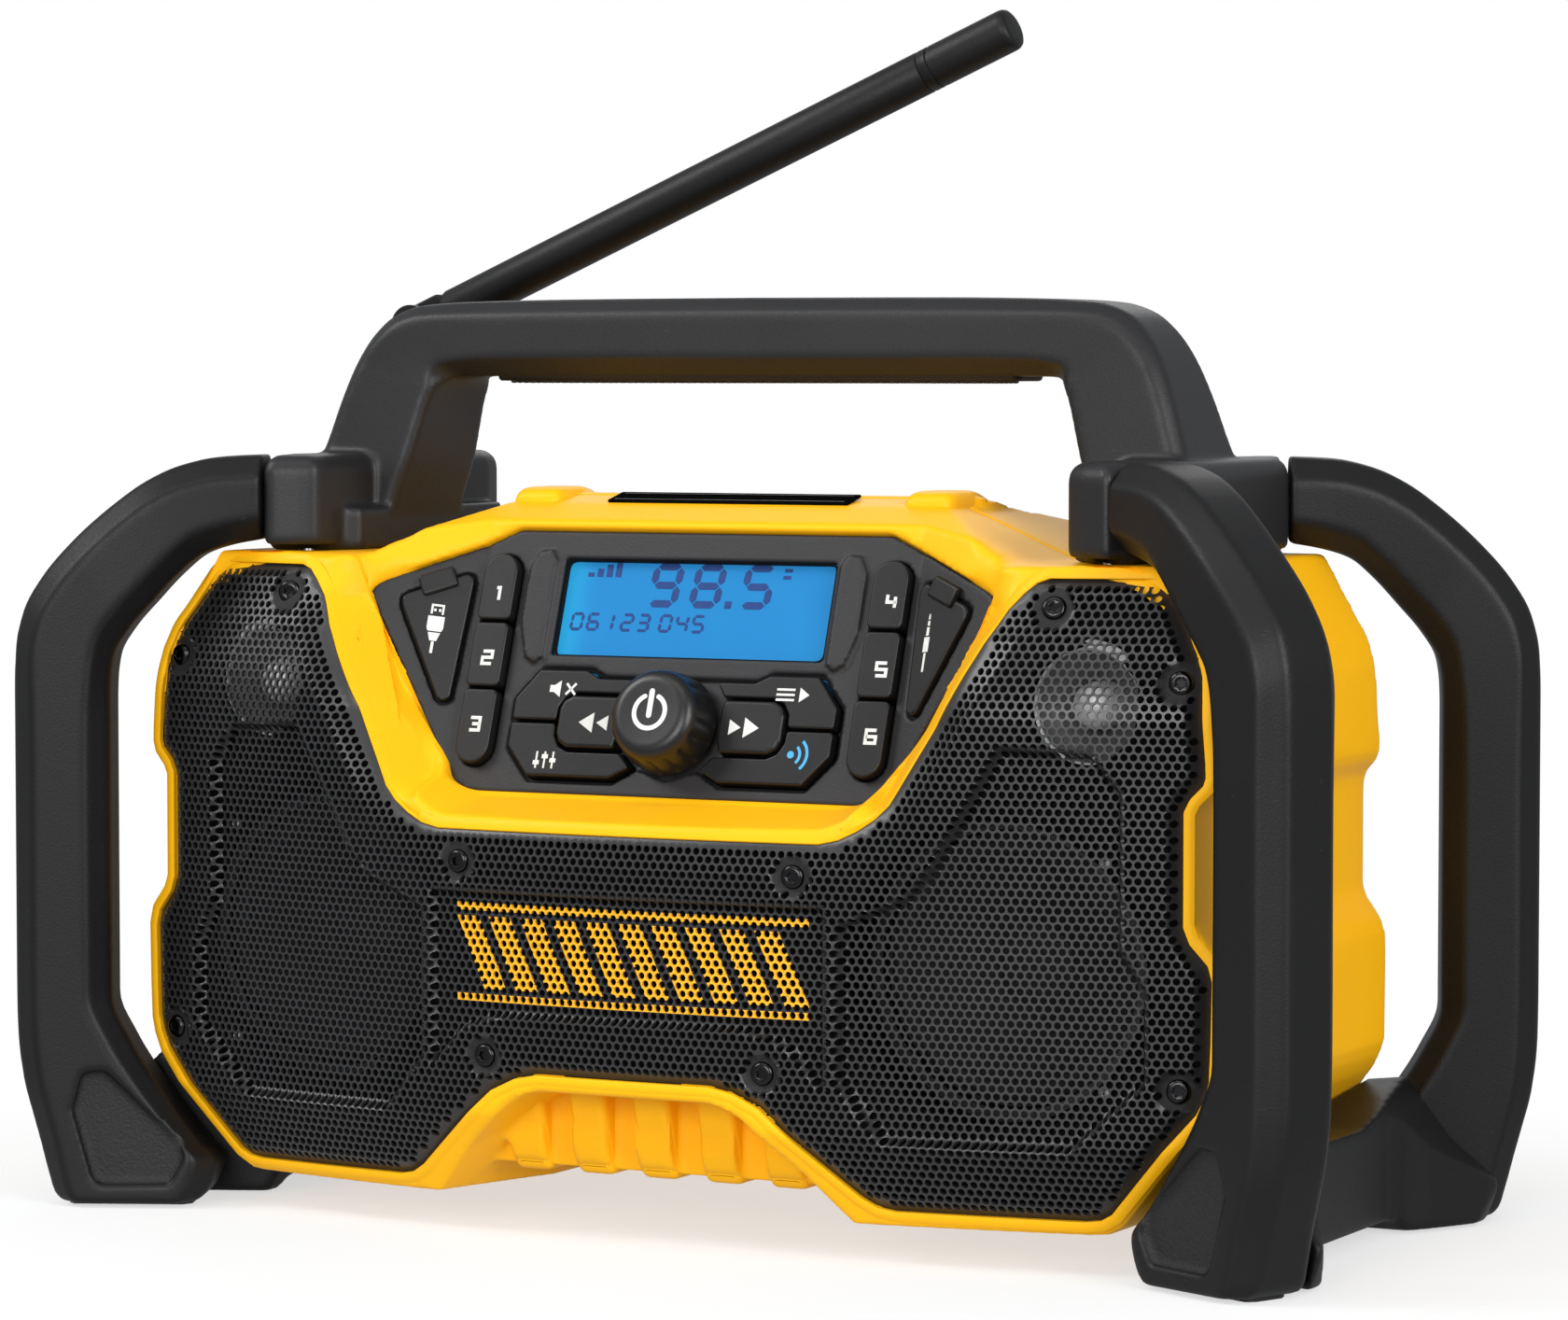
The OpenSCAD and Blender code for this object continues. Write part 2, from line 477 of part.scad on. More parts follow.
module woofer_frame() {
  translate([woofer_x, 0, woofer_z]) difference() {
    rotate([90, 0, 0]) rotate_extrude($fn = 64) polygon([[24, 34], [26, 34], [woofer_r - 7, 52], [woofer_r - 5.8, 62.5], [woofer_r, 62.5], [woofer_r, 65], [woofer_r - 8.4, 65], [woofer_r - 9.6, 53], [24, 36]]);
    for (a = [45:90:315]) translate([bolt_r * cos(a), 0, bolt_r * sin(a)]) bar(-70, -60, 1.6);
  }
}
module woofer_cone() {
  translate([woofer_x, 0, woofer_z]) rotate([90, 0, 0]) rotate_extrude($fn = 64)
    polygon([[0, 49.2], [8, 48.4], [11, 47], [woofer_r - 16, 60], [woofer_r - 14, 62.2], [woofer_r - 12, 62.8], [woofer_r - 10, 61.4], [woofer_r - 9.1, 61.4], [woofer_r - 9.1, 62.2], [woofer_r - 9.8, 62.2], [woofer_r - 12, 63.8], [woofer_r - 14.6, 63.2], [woofer_r - 16.6, 61], [11.4, 48.6], [8.2, 49.9], [0, 50.8]]);
}
module woofer_magnet() {
  translate([woofer_x, 0, woofer_z]) { bar(-33.9, -21, 27); bar(-46, -33.8, 9); }
}
module left_woofer_frame() { color("dimgray") mirror([1, 0, 0]) woofer_frame(); }
module right_woofer_frame() { color("dimgray") woofer_frame(); }
module left_woofer_cone() { color("gray") mirror([1, 0, 0]) woofer_cone(); }
module right_woofer_cone() { color("gray") woofer_cone(); }
module left_woofer_magnet() { color("slategray") mirror([1, 0, 0]) woofer_magnet(); }
module right_woofer_magnet() { color("slategray") woofer_magnet(); }
module tweeter_frame() {
  translate([tweeter_x, 0, tweeter_z]) rotate([90, 0, 0]) rotate_extrude($fn = 48)
    polygon([[6.6, 52], [15.2, 60.6], [tweeter_r, 60.6], [tweeter_r, 62.9], [14.6, 62.9], [6.6, 54.4]]);
}
module tweeter_dome() {
  translate([tweeter_x, 0, tweeter_z]) rotate([90, 0, 0]) rotate_extrude($fn = 48)
    polygon([[0, 44], [6.4, 44], [6.4, 53.6], [5.4, 56], [3.4, 57.8], [0, 58.6]]);
}
module left_tweeter_frame() { color("silver") mirror([1, 0, 0]) tweeter_frame(); }
module right_tweeter_frame() { color("silver") tweeter_frame(); }
module left_tweeter_dome() { color("silver") mirror([1, 0, 0]) tweeter_dome(); }
module right_tweeter_dome() { color("silver") tweeter_dome(); }
module battery_terminals() {
  color("dimgray") {
    translate([-18, 33.2, bay_z]) cube([36, 9, 30]);
    for (i = [-1.5:1:1.5]) translate([i * 8 - 0.6, 42.1, bay_z + 6]) cube([1.2, 7, 20]);
  }
}
module dc_jack() {
  color("gray") translate([100, 0, 60]) difference() {
    union() { bar(44, 63.2, 4.9); bar(38, 44.1, 6.5); }
    bar(48, 64, 2.75);
  }
}
module top_strip() {
  color("black") translate([0, -28, top_z - 2.4]) rotate([9.73, 0, 0]) translate([-41.4, 0.2, 0.02]) cube([82.8, 9.2, 0.35]);
}

// ---- cage ----
// stations down a leg: outer and inner edge as [out along the leg's plane, height], and sideways shift
leg_st = [
  [[-56.4, 215.4], [-56.4, 191.2], -8.2], [[-44, 214.8], [-48, 189.7], -6.2], [[-33, 212.4], [-39.5, 187], -4],
  [[-24, 208.3], [-32.6, 181.4], -2.3], [[-13, 200.4], [-25.2, 173.4], -0.9], [[-2, 190.4], [-18.2, 165.2], 0],
  [[6.4, 180.6], [-14.2, 158.2], 0], [[11.8, 171], [-13.2, 151.4], 0], [[14.2, 160], [-13, 145], 0],
  [[14.6, 148], [-13, 140], 0], [[14.6, 66], [-13, 62], 0], [[14.4, 51], [-20.2, 50.2], 0],
  [[12.9, 37], [-29.5, 35], 0], [[9.9, 25], [-38.6, 20.2], 0], [[8, 18], [-43.6, 12.4], 0],
  [[5.6, 9], [-41.8, 6.4], 0], [[3.6, 3.2], [-38.9, 2.4], 0], [[1, 1], [-36.4, 1], 0]];
function leg_ring(s, t, c) =
  let (o = s[0], i = s[1], d = i - o, l = norm(d), w = d / l, h = t / 2, n = s[2])
  [for (q = [[c, h], [l - c, h], [l, h - c], [l, c - h], [l - c, -h], [c, -h], [0, c - h], [0, h - c]])
    [o[0] + w[0] * q[0], n + q[1], o[1] + w[1] * q[0]]];
function leg_xyz(p) = [leg_x + p[0] * cos(leg_splay) - p[1] * sin(leg_splay), leg_y + p[0] * sin(leg_splay) + p[1] * cos(leg_splay), p[2]];
module leg(gap) {
  m = len(leg_st);
  pts = [for (k = [0:m - 1]) let (r = leg_ring(leg_st[k], leg_t - (k == m - 1 ? 3 : 0), leg_c - (k > m - 4 ? 1.5 : 0))) for (q = r) leg_xyz(q)];
  faces = concat(
    [[for (j = [0:7]) j]],
    [[for (j = [7:-1:0]) (m - 1) * 8 + j]],
    [for (k = [0:m - 2], j = [0:7]) [k * 8 + j, (k + 1) * 8 + j, (k + 1) * 8 + (j + 1) % 8]],
    [for (k = [0:m - 2], j = [0:7]) [k * 8 + j, (k + 1) * 8 + (j + 1) % 8, k * 8 + (j + 1) % 8]]);
  polyhedron(pts, faces);
}
module pocket() {
  // shallow stippled pocket on the face of the foot
  translate([leg_x, leg_y, 0]) rotate([0, 0, leg_splay]) translate([0, leg_t / 2 + 1, 0]) rotate([90, 0, 0])
    linear_extrude(3.6) polygon([[-11.8, 39.5], [-5.4, 38.6], [-2.5, 28], [-8, 8.5], [-10.5, 6.4], [-30.4, 6.8], [-34.5, 14], [-34, 18.6]]);
}
module whole_leg() { color("black") difference() { leg(); pocket(); } }
module rear_right_leg() { whole_leg(); }
module front_right_leg() { mirror([0, 1, 0]) whole_leg(); }
module rear_left_leg() { mirror([1, 0, 0]) whole_leg(); }
module front_left_leg() { mirror([1, 0, 0]) mirror([0, 1, 0]) whole_leg(); }
module rail() {
  difference() {
    intersection() {
      along_y(-90, 90) polygon([[142.5, 0.6], [leg_x + 5.9, 0.6], [leg_x + 9.9, 12], [leg_x - 2.1, 23], [168.4, 46], [165.6, 47], [163.3, 43.2], [139.3, 13.9], [139.3, 7]]);
      along_x(120, 200) polygon([[-76, 0], [-39, 0], [-34, 4.4], [34, 4.4], [39, 0], [76, 0], [76, 46], [58, 42], [37, 38], [12, 32], [-12, 32], [-37, 38], [-58, 42], [-76, 46]]);
      along_z(-1, 60) polygon([[139, -80], [leg_x + 13.9, -80], [leg_x + 7.9, -62], [leg_x - 2.1, -44], [leg_x - 7.6, -36], [leg_x - 9.6, -30], [leg_x - 9.6, 30], [leg_x - 7.6, 36], [leg_x - 2.1, 44], [leg_x + 7.9, 62], [leg_x + 13.9, 80], [139, 80]]);
    }
    for (s = [0, 1]) mirror([0, s, 0]) translate([leg_x, leg_y, 0]) rotate([0, 0, leg_splay]) translate([-120, -leg_t / 2 - 0.3, -1]) cube([200, 80, 100]);
  }
}
module right_lower_rail() { color("black") rail(); }
module left_lower_rail() { color("black") mirror([1, 0, 0]) rail(); }
module foot_pads() {
  color("black") for (sx = [0, 1], sy = [0, 1]) mirror([sx, 0, 0]) mirror([0, sy, 0])
    linear_extrude(0.98) polygon([for (q = [[-0.6, 7], [-32, 7], [-34.6, 4.5], [-34.6, -4.5], [-32, -7], [-0.6, -7], [1, -4.5], [1, 4.5]]) let (p = leg_xyz([q[0] - 1, q[1], 0])) [p[0], p[1]]]);
}
collar_pts = [[leg_x - 54.5, 62.3], [125.4, 58.6], [121.4, 53], [119.6, 45], [116.2, -51], [117.6, -56], [122.6, -58.8], [leg_x - 54.5, -62.3], [leg_x - 43.1, -36.9], [leg_x - 43.1, 36.9]];
collar_in = [[leg_x - 52.9, 58.6], [128.8, 55.8], [126, 51.4], [124.6, 44.6], [121.4, -49.6], [122.4, -53], [126.6, -55.8], [leg_x - 52.9, -58.6], [leg_x - 48.5, -40], [leg_x - 48.5, 40]];
handle_out = [[138.6, 209], [137.2, 215.5], [132.5, 229.5], [127.4, 242], [125, 246.6], [121.6, 250.6], [116.6, 254.8], [110.6, 257.2], [102, 258.6], [60, handle_z - 0.3]];
handle_in = [[60, 240.2], [93, 240.2], [96.6, 239.2], [99, 237], [100.6, 234], [106.3, 214], [111.4, 198], [113, 190.4], [120, 190.4], [124, 209]];
module handle_frame() {
  color("black") difference() {
    union() {
      both() hull() { along_z(197, 209.4) polygon(collar_pts); along_z(191, 215.4) polygon(collar_in); }
      both() along_z(188.05, 200) polygon([[112, 40], [134, 56], [136, 40], [136, -40], [134, -56], [112, -40]]);
      translate([0, handle_shift, 0]) difference() {
        intersection() {
          along_y(-30, 30) polygon(concat(handle_out, [for (i = [len(handle_out) - 1:-1:0]) [-handle_out[i][0], handle_out[i][1]]], [for (i = [len(handle_in) - 1:-1:0]) [-handle_in[i][0], handle_in[i][1]]], handle_in));
          along_x(-150, 150) polygon([[-20.5, 190.4], [-20.5, 214], [-handle_y - 0.3, 243], [-handle_y + 0.6, 256], [-handle_y + 4, 262], [handle_y - 4, 262], [handle_y - 0.6, 256], [handle_y + 0.3, 243], [20.5, 214], [20.5, 190.4]]);
        }
        for (s = [-1, 1]) scale([1, s, 1]) along_x(-97, 97) polygon([[handle_y + 1, 245], [handle_y + 1, 230], [handle_y - 8, 230], [handle_y - 6.4, 239]]);
      }
    }
    // seat for the antenna post, and holes for the screws from inside the body
    translate([piv[0], piv[1], 209.9]) cylinder(r = 8.4, h = 10);
    for (y = frame_ys) both() translate([126, y, 187]) cylinder(r = 1.6, h = 19);
  }
}
module handle_grip() {
  color("dimgray") along_x(-83, 83) polygon([for (q = [[-9.6, 240.1], [-9.9, 237.9], [-8.6, 236.7], [8.6, 236.7], [9.9, 237.9], [9.6, 240.1]]) [q[0] + handle_shift, q[1]]]);
}
module frame_screws() {
  color("silver") {
    both() for (y = frame_ys) translate([126, y, 182.3]) { cylinder(r = 3.2, h = 2.65); translate([0, 0, 2.6]) cylinder(r = 1.9, h = 19.5); }
  }
}
module antenna_base() {
  color("black") translate([piv[0], piv[1], 0]) difference() {
    union() {
      translate([0, 0, 210]) cylinder(r = 8.25, h = 6);
      translate([0, 0, 215.9]) cylinder(r1 = 8.4, r2 = 7.6, h = 26.6);
      translate([-6.4, -7.2, 240]) cube([12.8, 14.4, piv[2] - 240]);
      translate([0, 7.2, piv[2]]) rotate([90, 0, 0]) cylinder(r = 6.4, h = 14.4);
    }
    translate([-9, -4, 243.4]) cube([18, 8, 20]);
    translate([0, 12, piv[2]]) rotate([90, 0, 0]) cylinder(r = 2, h = 24);
  }
}
module antenna_pin() { color("silver") translate([piv[0], piv[1], piv[2]]) rotate([90, 0, 0]) translate([0, 0, -7.1]) cylinder(r = 2, h = 14.2); }
module on_rod() { translate(piv) rotate([0, 90 - antenna_rise, 0]) children(); }
module antenna_rod() {
  color("black") difference() {
    union() {
      rotate_about_piv() {
        translate([0, 3.8, 0]) rotate([90, 0, 0]) cylinder(r = 6.2, h = 7.6);
        translate([-6, -3.8, 0]) cube([12, 7.6, 11]);
        translate([0, 0, 9]) cylinder(r1 = 5, r2 = antenna_d / 2, h = 3);
        translate([0, 0, 11.9]) cylinder(r = antenna_d / 2, h = antenna_len - 30 - 11.9);
      }
    }
    rotate_about_piv() translate([0, 12, 0]) rotate([90, 0, 0]) cylinder(r = 2.05, h = 24);
  }
}
module rotate_about_piv() { on_rod() children(); }
module antenna_cap() {
  color("black") on_rod() translate([0, 0, antenna_len - 30]) rotate_extrude($fn = 48) polygon([[0, 0.1], [antenna_d / 2, 0.1],
    [antenna_d / 2, 3], [antenna_d / 2 - 0.35, 3.2], [antenna_d / 2 - 0.35, 3.8], [antenna_d / 2, 4], [antenna_d / 2, 28.4], [antenna_d / 2 - 1.6, 30], [0, 30]]);
}

front_housing();
rear_housing();
front_grille();
control_panel();
display_lens();
lcd_module();
key_membrane();
preset_1();
preset_2();
preset_3();
preset_4();
preset_5();
preset_6();
upper_left_key();
lower_left_key();
upper_right_key();
lower_right_key();
skip_back_key();
skip_forward_key();
volume_knob();
encoder_shaft();
encoder_plunger();
encoder_body();
panel_board();
usb_door();
aux_door();
usb_socket();
aux_jack();
main_board();
board_screws();
left_woofer_frame();
right_woofer_frame();
left_woofer_cone();
right_woofer_cone();
left_woofer_magnet();
right_woofer_magnet();
left_tweeter_frame();
right_tweeter_frame();
left_tweeter_dome();
right_tweeter_dome();
speaker_screws();
grille_screws();
housing_screws();
handle_frame();
handle_grip();
frame_screws();
front_left_leg();
front_right_leg();
rear_left_leg();
rear_right_leg();
left_lower_rail();
right_lower_rail();
foot_pads();
antenna_base();
antenna_pin();
antenna_rod();
antenna_cap();
battery_terminals();
dc_jack();
top_strip();
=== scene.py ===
"""Jobsite radio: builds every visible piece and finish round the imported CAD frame.

All outlines below are in millimetres; meshes are scaled to metres when they are made.
"""

import math

import bmesh
import bpy
import numpy as np
from bpy.props import FloatProperty, FloatVectorProperty, IntProperty, PointerProperty
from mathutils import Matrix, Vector
from mathutils.geometry import delaunay_2d_cdt


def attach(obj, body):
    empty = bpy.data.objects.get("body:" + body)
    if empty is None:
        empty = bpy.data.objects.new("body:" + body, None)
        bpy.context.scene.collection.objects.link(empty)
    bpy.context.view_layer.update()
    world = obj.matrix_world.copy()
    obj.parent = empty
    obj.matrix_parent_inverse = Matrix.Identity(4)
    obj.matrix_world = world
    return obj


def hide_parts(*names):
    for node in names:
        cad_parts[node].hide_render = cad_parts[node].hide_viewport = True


bl_info = {
    "name": "Jobsite radio",
    "version": (1, 0, 0),
    "blender": (4, 5, 0),
    "location": "View3D > Sidebar > Radio",
    "description": "Pieces and finishes of a jobsite radio, built round its CAD frame",
    "category": "Add Mesh",
}

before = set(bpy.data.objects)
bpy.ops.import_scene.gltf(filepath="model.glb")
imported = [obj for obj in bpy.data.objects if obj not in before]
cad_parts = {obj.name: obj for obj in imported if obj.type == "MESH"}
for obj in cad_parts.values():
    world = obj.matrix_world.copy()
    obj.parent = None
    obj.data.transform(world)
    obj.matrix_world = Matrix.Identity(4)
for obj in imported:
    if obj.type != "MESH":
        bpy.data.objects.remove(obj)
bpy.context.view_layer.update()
MM = 0.001

# ---- places that the pieces share ----
PANEL_Y, PANEL_Z = -54.0, 156.5
LEAN = math.radians(19)
FOLD = math.radians(21)
CREASE = 68.5
KNOB_Y = -16.0
KEY_FOOT = -4.2
FRONT_R, FRONT_Y = 620.0, 90.0
LEG_X, LEG_Y, SPLAY = 186.1, 80.2, math.radians(24)
PIVOT = (-134.0, 30.0, 252.6)
TOP_Z = 204.5
HANDLE_SHIFT = -4.0
RISE = math.radians(23.2)
WING_SLOPE = (math.cos(FOLD), math.sin(FOLD))

GRILLE_OUT = [(116.3, 185.2), (144.9, 185.3), (147.4, 184), (150.1, 181.2), (154.8, 173.6), (159.6, 164.9),
              (161.4, 159.7), (162.2, 153.5), (163.4, 137), (163.5, 133.2), (162.8, 131), (159.4, 127.4),
              (157.9, 124.2), (157.9, 94.2), (159.5, 90), (164.2, 84.4), (165.3, 80), (165, 63.7),
              (164.6, 53.4), (163.6, 49.4), (161.3, 44.6), (136.8, 16.4), (133.3, 14.4), (128.8, 13.9),
              (76.9, 14.2), (72.2, 15.1), (67.8, 17.8), (41.2, 41), (33.6, 44.6), (26.7, 46)]
GRILLE_IN = [(30, 113.9), (58.8, 113.9), (64.4, 115.2), (69.3, 117.6), (74, 120.8), (77.6, 124.5),
             (89.2, 145.6), (105.9, 176.4), (109.8, 181), (112.8, 183.8)]
SPEAKER_FIELD = [(109, 139.8), (133, 138.6), (141, 129), (141, 87.4), (147.5, 77), (147.5, 53), (128, 34.5),
                 (77.2, 34.5), (64.6, 49.8), (64.6, 91.2), (73, 94.8), (84, 99.5), (91, 107.4), (100.6, 125)]
MARK_FIELD = [(60.6, 96.4), (60.6, 47.6), (51, 58.3), (43, 61.3), (36, 62.6),
              (-36, 62.6), (-43, 61.3), (-51, 58.3), (-60.6, 47.6), (-60.6, 96.4)]
BESIDE_PANEL = [(66, 116), (78, 124), (114, 183.8), (114, 187), (94, 187), (94, 176), (66, 128)]
GRILLE_SCREWS = [(119.1, 176.8), (155.6, 157.9), (156.3, 51.1), (51.8, 104.5), (43, 51.2)]
SCREW_SHADE = 29.0  # square of the radius of the painted shade round a screw
PIECE_EDGE = 57.0  # x at which the sheet is divided into three pieces
BACK_SCREWS = [(134, 176), (152.3, 109), (134, 34), (66, 36)]
TWEETER = (127.4, 150.9)

# print on the middle of the sheet: two lines, and slanted bars between them
MARK_X, MARK_Z, MARK_LINES = (-52.8, 56.0), (66.0, 93.2), (68.0, 91.0)
BAR_MIDDLE, BAR_HALF, BAR_LEAN = 79.5, 10.0, 0.45
BAR_START, BAR_RUN, BAR_PITCH, BAR_WIDTH = 48.3, 100.0, 10.32, 7.1

# rails on the top and ribs under the arch
RAIL_X, RAIL_BASE, RAIL_TOP, NOSE_HALF = 62, 198, 206.3, 7.8
RIB_PITCH, RIB_HALF, RIB_LOW, RIB_HIGH = 20, 5.8, 17.0, 46
RIB_BACK, RIB_FRONT, RIB_LEAN, RIB_BEND, RIB_RUN = 58, 75.5, 8.0, 44, 27

UPPER_KEY = [(-43.6, -1.1), (-28.8, -1.1), (-24.3, -3.3), (-12.6, -3.3), (-15.4, -7.5), (-31, -7.5),
             (-34.2, -9), (-36, -12), (-36.2, -15.6), (-50.3, -15.6), (-50.3, -9.6)]
LOWER_KEY = [(-50.3, -16.5), (-36.2, -16.5), (-36, -20), (-34.2, -23.1), (-31, -24.5), (-14.8, -24.5),
             (-10.6, -28.4), (-17, -31.7), (-43, -31.7), (-50.3, -23.4)]
SKIP_KEY = [(-35.1, -12.4), (-34, -10), (-31.4, -8.5), (-16.4, -8.5), (-15.5, -12), (-15.3, -16),
            (-15.5, -20), (-16.4, -23.5), (-31.4, -23.5), (-34, -22), (-35.1, -19.6)]
FLAP = [(3.4, -10.4), (5.6, -11.6), (7.4, -10.6), (21.4, 14.6), (21.8, 17.2), (20.2, 18.6), (4.6, 26),
        (2.6, 25.6), (2, 23.8)]

# outer and inner edge of a leg as (out along the leg's plane, height), and its sideways shift
LEG_STATIONS = [((-56.4, 215.4), (-56.4, 191.2), -8.2), ((-44, 214.8), (-48, 189.7), -6.2),
                ((-33, 212.4), (-39.5, 187), -4), ((-24, 208.3), (-32.6, 181.4), -2.3),
                ((-13, 200.4), (-25.2, 173.4), -0.9), ((-2, 190.4), (-18.2, 165.2), 0),
                ((6.4, 180.6), (-14.2, 158.2), 0), ((11.8, 171), (-13.2, 151.4), 0),
                ((14.2, 160), (-13, 145), 0), ((14.6, 148), (-13, 140), 0),
                ((14.6, 66), (-13, 60), 0), ((14.4, 51), (-18.0, 48), 0), ((12.9, 37), (-27.2, 33.5), 0),
                ((9.9, 25), (-37.6, 19.4), 0), ((8, 18), (-43.6, 12.4), 0), ((5.6, 9), (-41.8, 6.4), 0),
                ((3.6, 3.2), (-38.9, 2.4), 0), ((1, 1), (-36.4, 1), 0)]
FOOT_POCKET = [(-11.8, 39.5), (-5.4, 38.6), (-2.5, 28), (-8, 8.5), (-10.5, 6.4), (-30.4, 6.8), (-34.5, 14),
               (-34, 18.6)]

# outer and inner edge of the handle from the collar to the middle as (x, height)
HANDLE_STATIONS = [((138.6, 192), (113.4, 192)), ((138.4, 203), (110.4, 203)), ((137.4, 214), (106.3, 214)),
                   ((134.8, 222.5), (104, 222)), ((132.4, 230), (101.9, 229.5)), ((129.8, 237), (100.4, 233.4)),
                   ((126.6, 244), (99, 235.6)), ((122.2, 250.4), (97.2, 236.9)), ((116, 255.6), (95, 237.6)),
                   ((107.4, 258.3), (91.5, 237.8)), ((94, 259.2), (85, 237.8)), ((60, 259.8), (60, 237.8)),
                   ((0, 260), (0, 237.8))]
COLLAR = [(131.6, 62.3), (125.4, 58.6), (121.4, 53), (119.6, 45), (116.2, -51), (117.6, -56),
          (122.6, -58.8), (131.6, -62.3), (143, -36.9), (143, 36.9)]


# ---- sizes and colours that a user may change ----
def length_property(label, words, value, low=0.0):
    return FloatProperty(name=label, description=words, default=value, min=low, unit="LENGTH")


def count_property(label, words, value, low, high):
    return IntProperty(name=label, description=words, default=value, min=low, max=high)


class RadioSizes(bpy.types.PropertyGroup):
    """Sizes of the details that are added to the CAD shapes"""

    shell_voxel: length_property("Shell voxel", "Grain at which the yellow shells are softened", 0.0011, 0.0006)
    shell_passes: count_property("Shell softness", "Smoothing passes on the yellow shells", 4, 0, 20)
    panel_voxel: length_property("Panel voxel", "Grain at which the control panel is softened", 0.0006, 0.0004)
    hole_pitch: length_property("Hole pitch", "Distance between the holes of the grille", 0.0025)
    hole_size: length_property("Hole diameter", "Diameter of the grille's holes", 0.00198)
    sheet: length_property("Sheet thickness", "Thickness of the grille's sheet", 0.0009)
    field_depth: length_property("Speaker field depth", "Depth of the pressed fields before the speakers", 0.0039)
    mark_depth: length_property("Middle field depth", "Depth of the pressed field in the middle", 0.0024)
    key_edge: length_property("Key edge", "Radius of the edges of the keys", 0.0006)
    knob_lumps: count_property("Knob lumps", "Number of finger grips round the knob", 16, 6, 40)
    grip_pitch: length_property("Grip pitch", "Distance between the nubs under the handle", 0.0032)


def colour_property(label, words, value):
    return FloatVectorProperty(name=label, description=words, default=value, size=3, min=0, max=1, subtype="COLOR")


class RadioColours(bpy.types.PropertyGroup):
    """Colours of the radio's finishes, as linear values"""

    shell: colour_property("Shell", "Yellow of the two body shells", (1.0, 0.485, 0.006))
    cage: colour_property("Cage", "Black of the legs, collars, handle and rails", (0.0042, 0.0042, 0.0045))
    panel: colour_property("Panel", "Grey of the control panel", (0.016, 0.016, 0.0175))
    keys: colour_property("Keys", "Black of the keys and flaps", (0.0055, 0.0055, 0.0058))
    metal: colour_property("Grille", "Lacquer of the perforated grille", (0.017, 0.017, 0.018))
    display: colour_property("Display", "Lit blue of the display", (0.012, 0.19, 0.46))
    segments: colour_property("Segments", "Dark blue of the display's figures", (0.006, 0.050, 0.26))
    printing: colour_property("Printing", "Pale print on the keys and knob", (0.72, 0.73, 0.70))
    wave: colour_property("Wave symbol", "Blue print on the lower right key", (0.06, 0.40, 0.78))


def sizes():
    return bpy.context.scene.radio_sizes


def colours():
    return bpy.context.scene.radio_colours


# ---- finishes ----
class Link:
    """A socket of a finish, with Python's operators for its maths."""

    def __init__(self, finish, socket):
        self.finish, self.socket = finish, socket

    def maths(self, operation, *others, clamp=False):
        values = {i: v for i, v in enumerate((self,) + others)}
        return self.finish.node("Math", {"operation": operation, "use_clamp": clamp}, values)

    def __add__(self, other):
        return self.maths("ADD", other)

    def __sub__(self, other):
        return self.maths("SUBTRACT", other)

    def __mul__(self, other):
        return self.maths("MULTIPLY", other)

    def __pow__(self, other):
        return self.maths("POWER", other)

    def __mod__(self, other):
        return self.maths("FLOORED_MODULO", other)

    def __gt__(self, other):
        return self.maths("GREATER_THAN", other)

    def __lt__(self, other):
        return self.maths("LESS_THAN", other)

    def __abs__(self):
        return self.maths("ABSOLUTE")

    def __rsub__(self, other):
        return self.finish.node("Math", {"operation": "SUBTRACT"}, {0: other, 1: self})

    __radd__ = __add__
    __rmul__ = __mul__

    def clamped(self):
        return self.maths("ADD", 0.0, clamp=True)

    def ramp(self, low, high):
        """0 below low, 1 above high, smooth between."""
        return self.finish.node("MapRange", {"interpolation_type": "SMOOTHSTEP"},
                                {"Value": self, "From Min": low, "From Max": high})


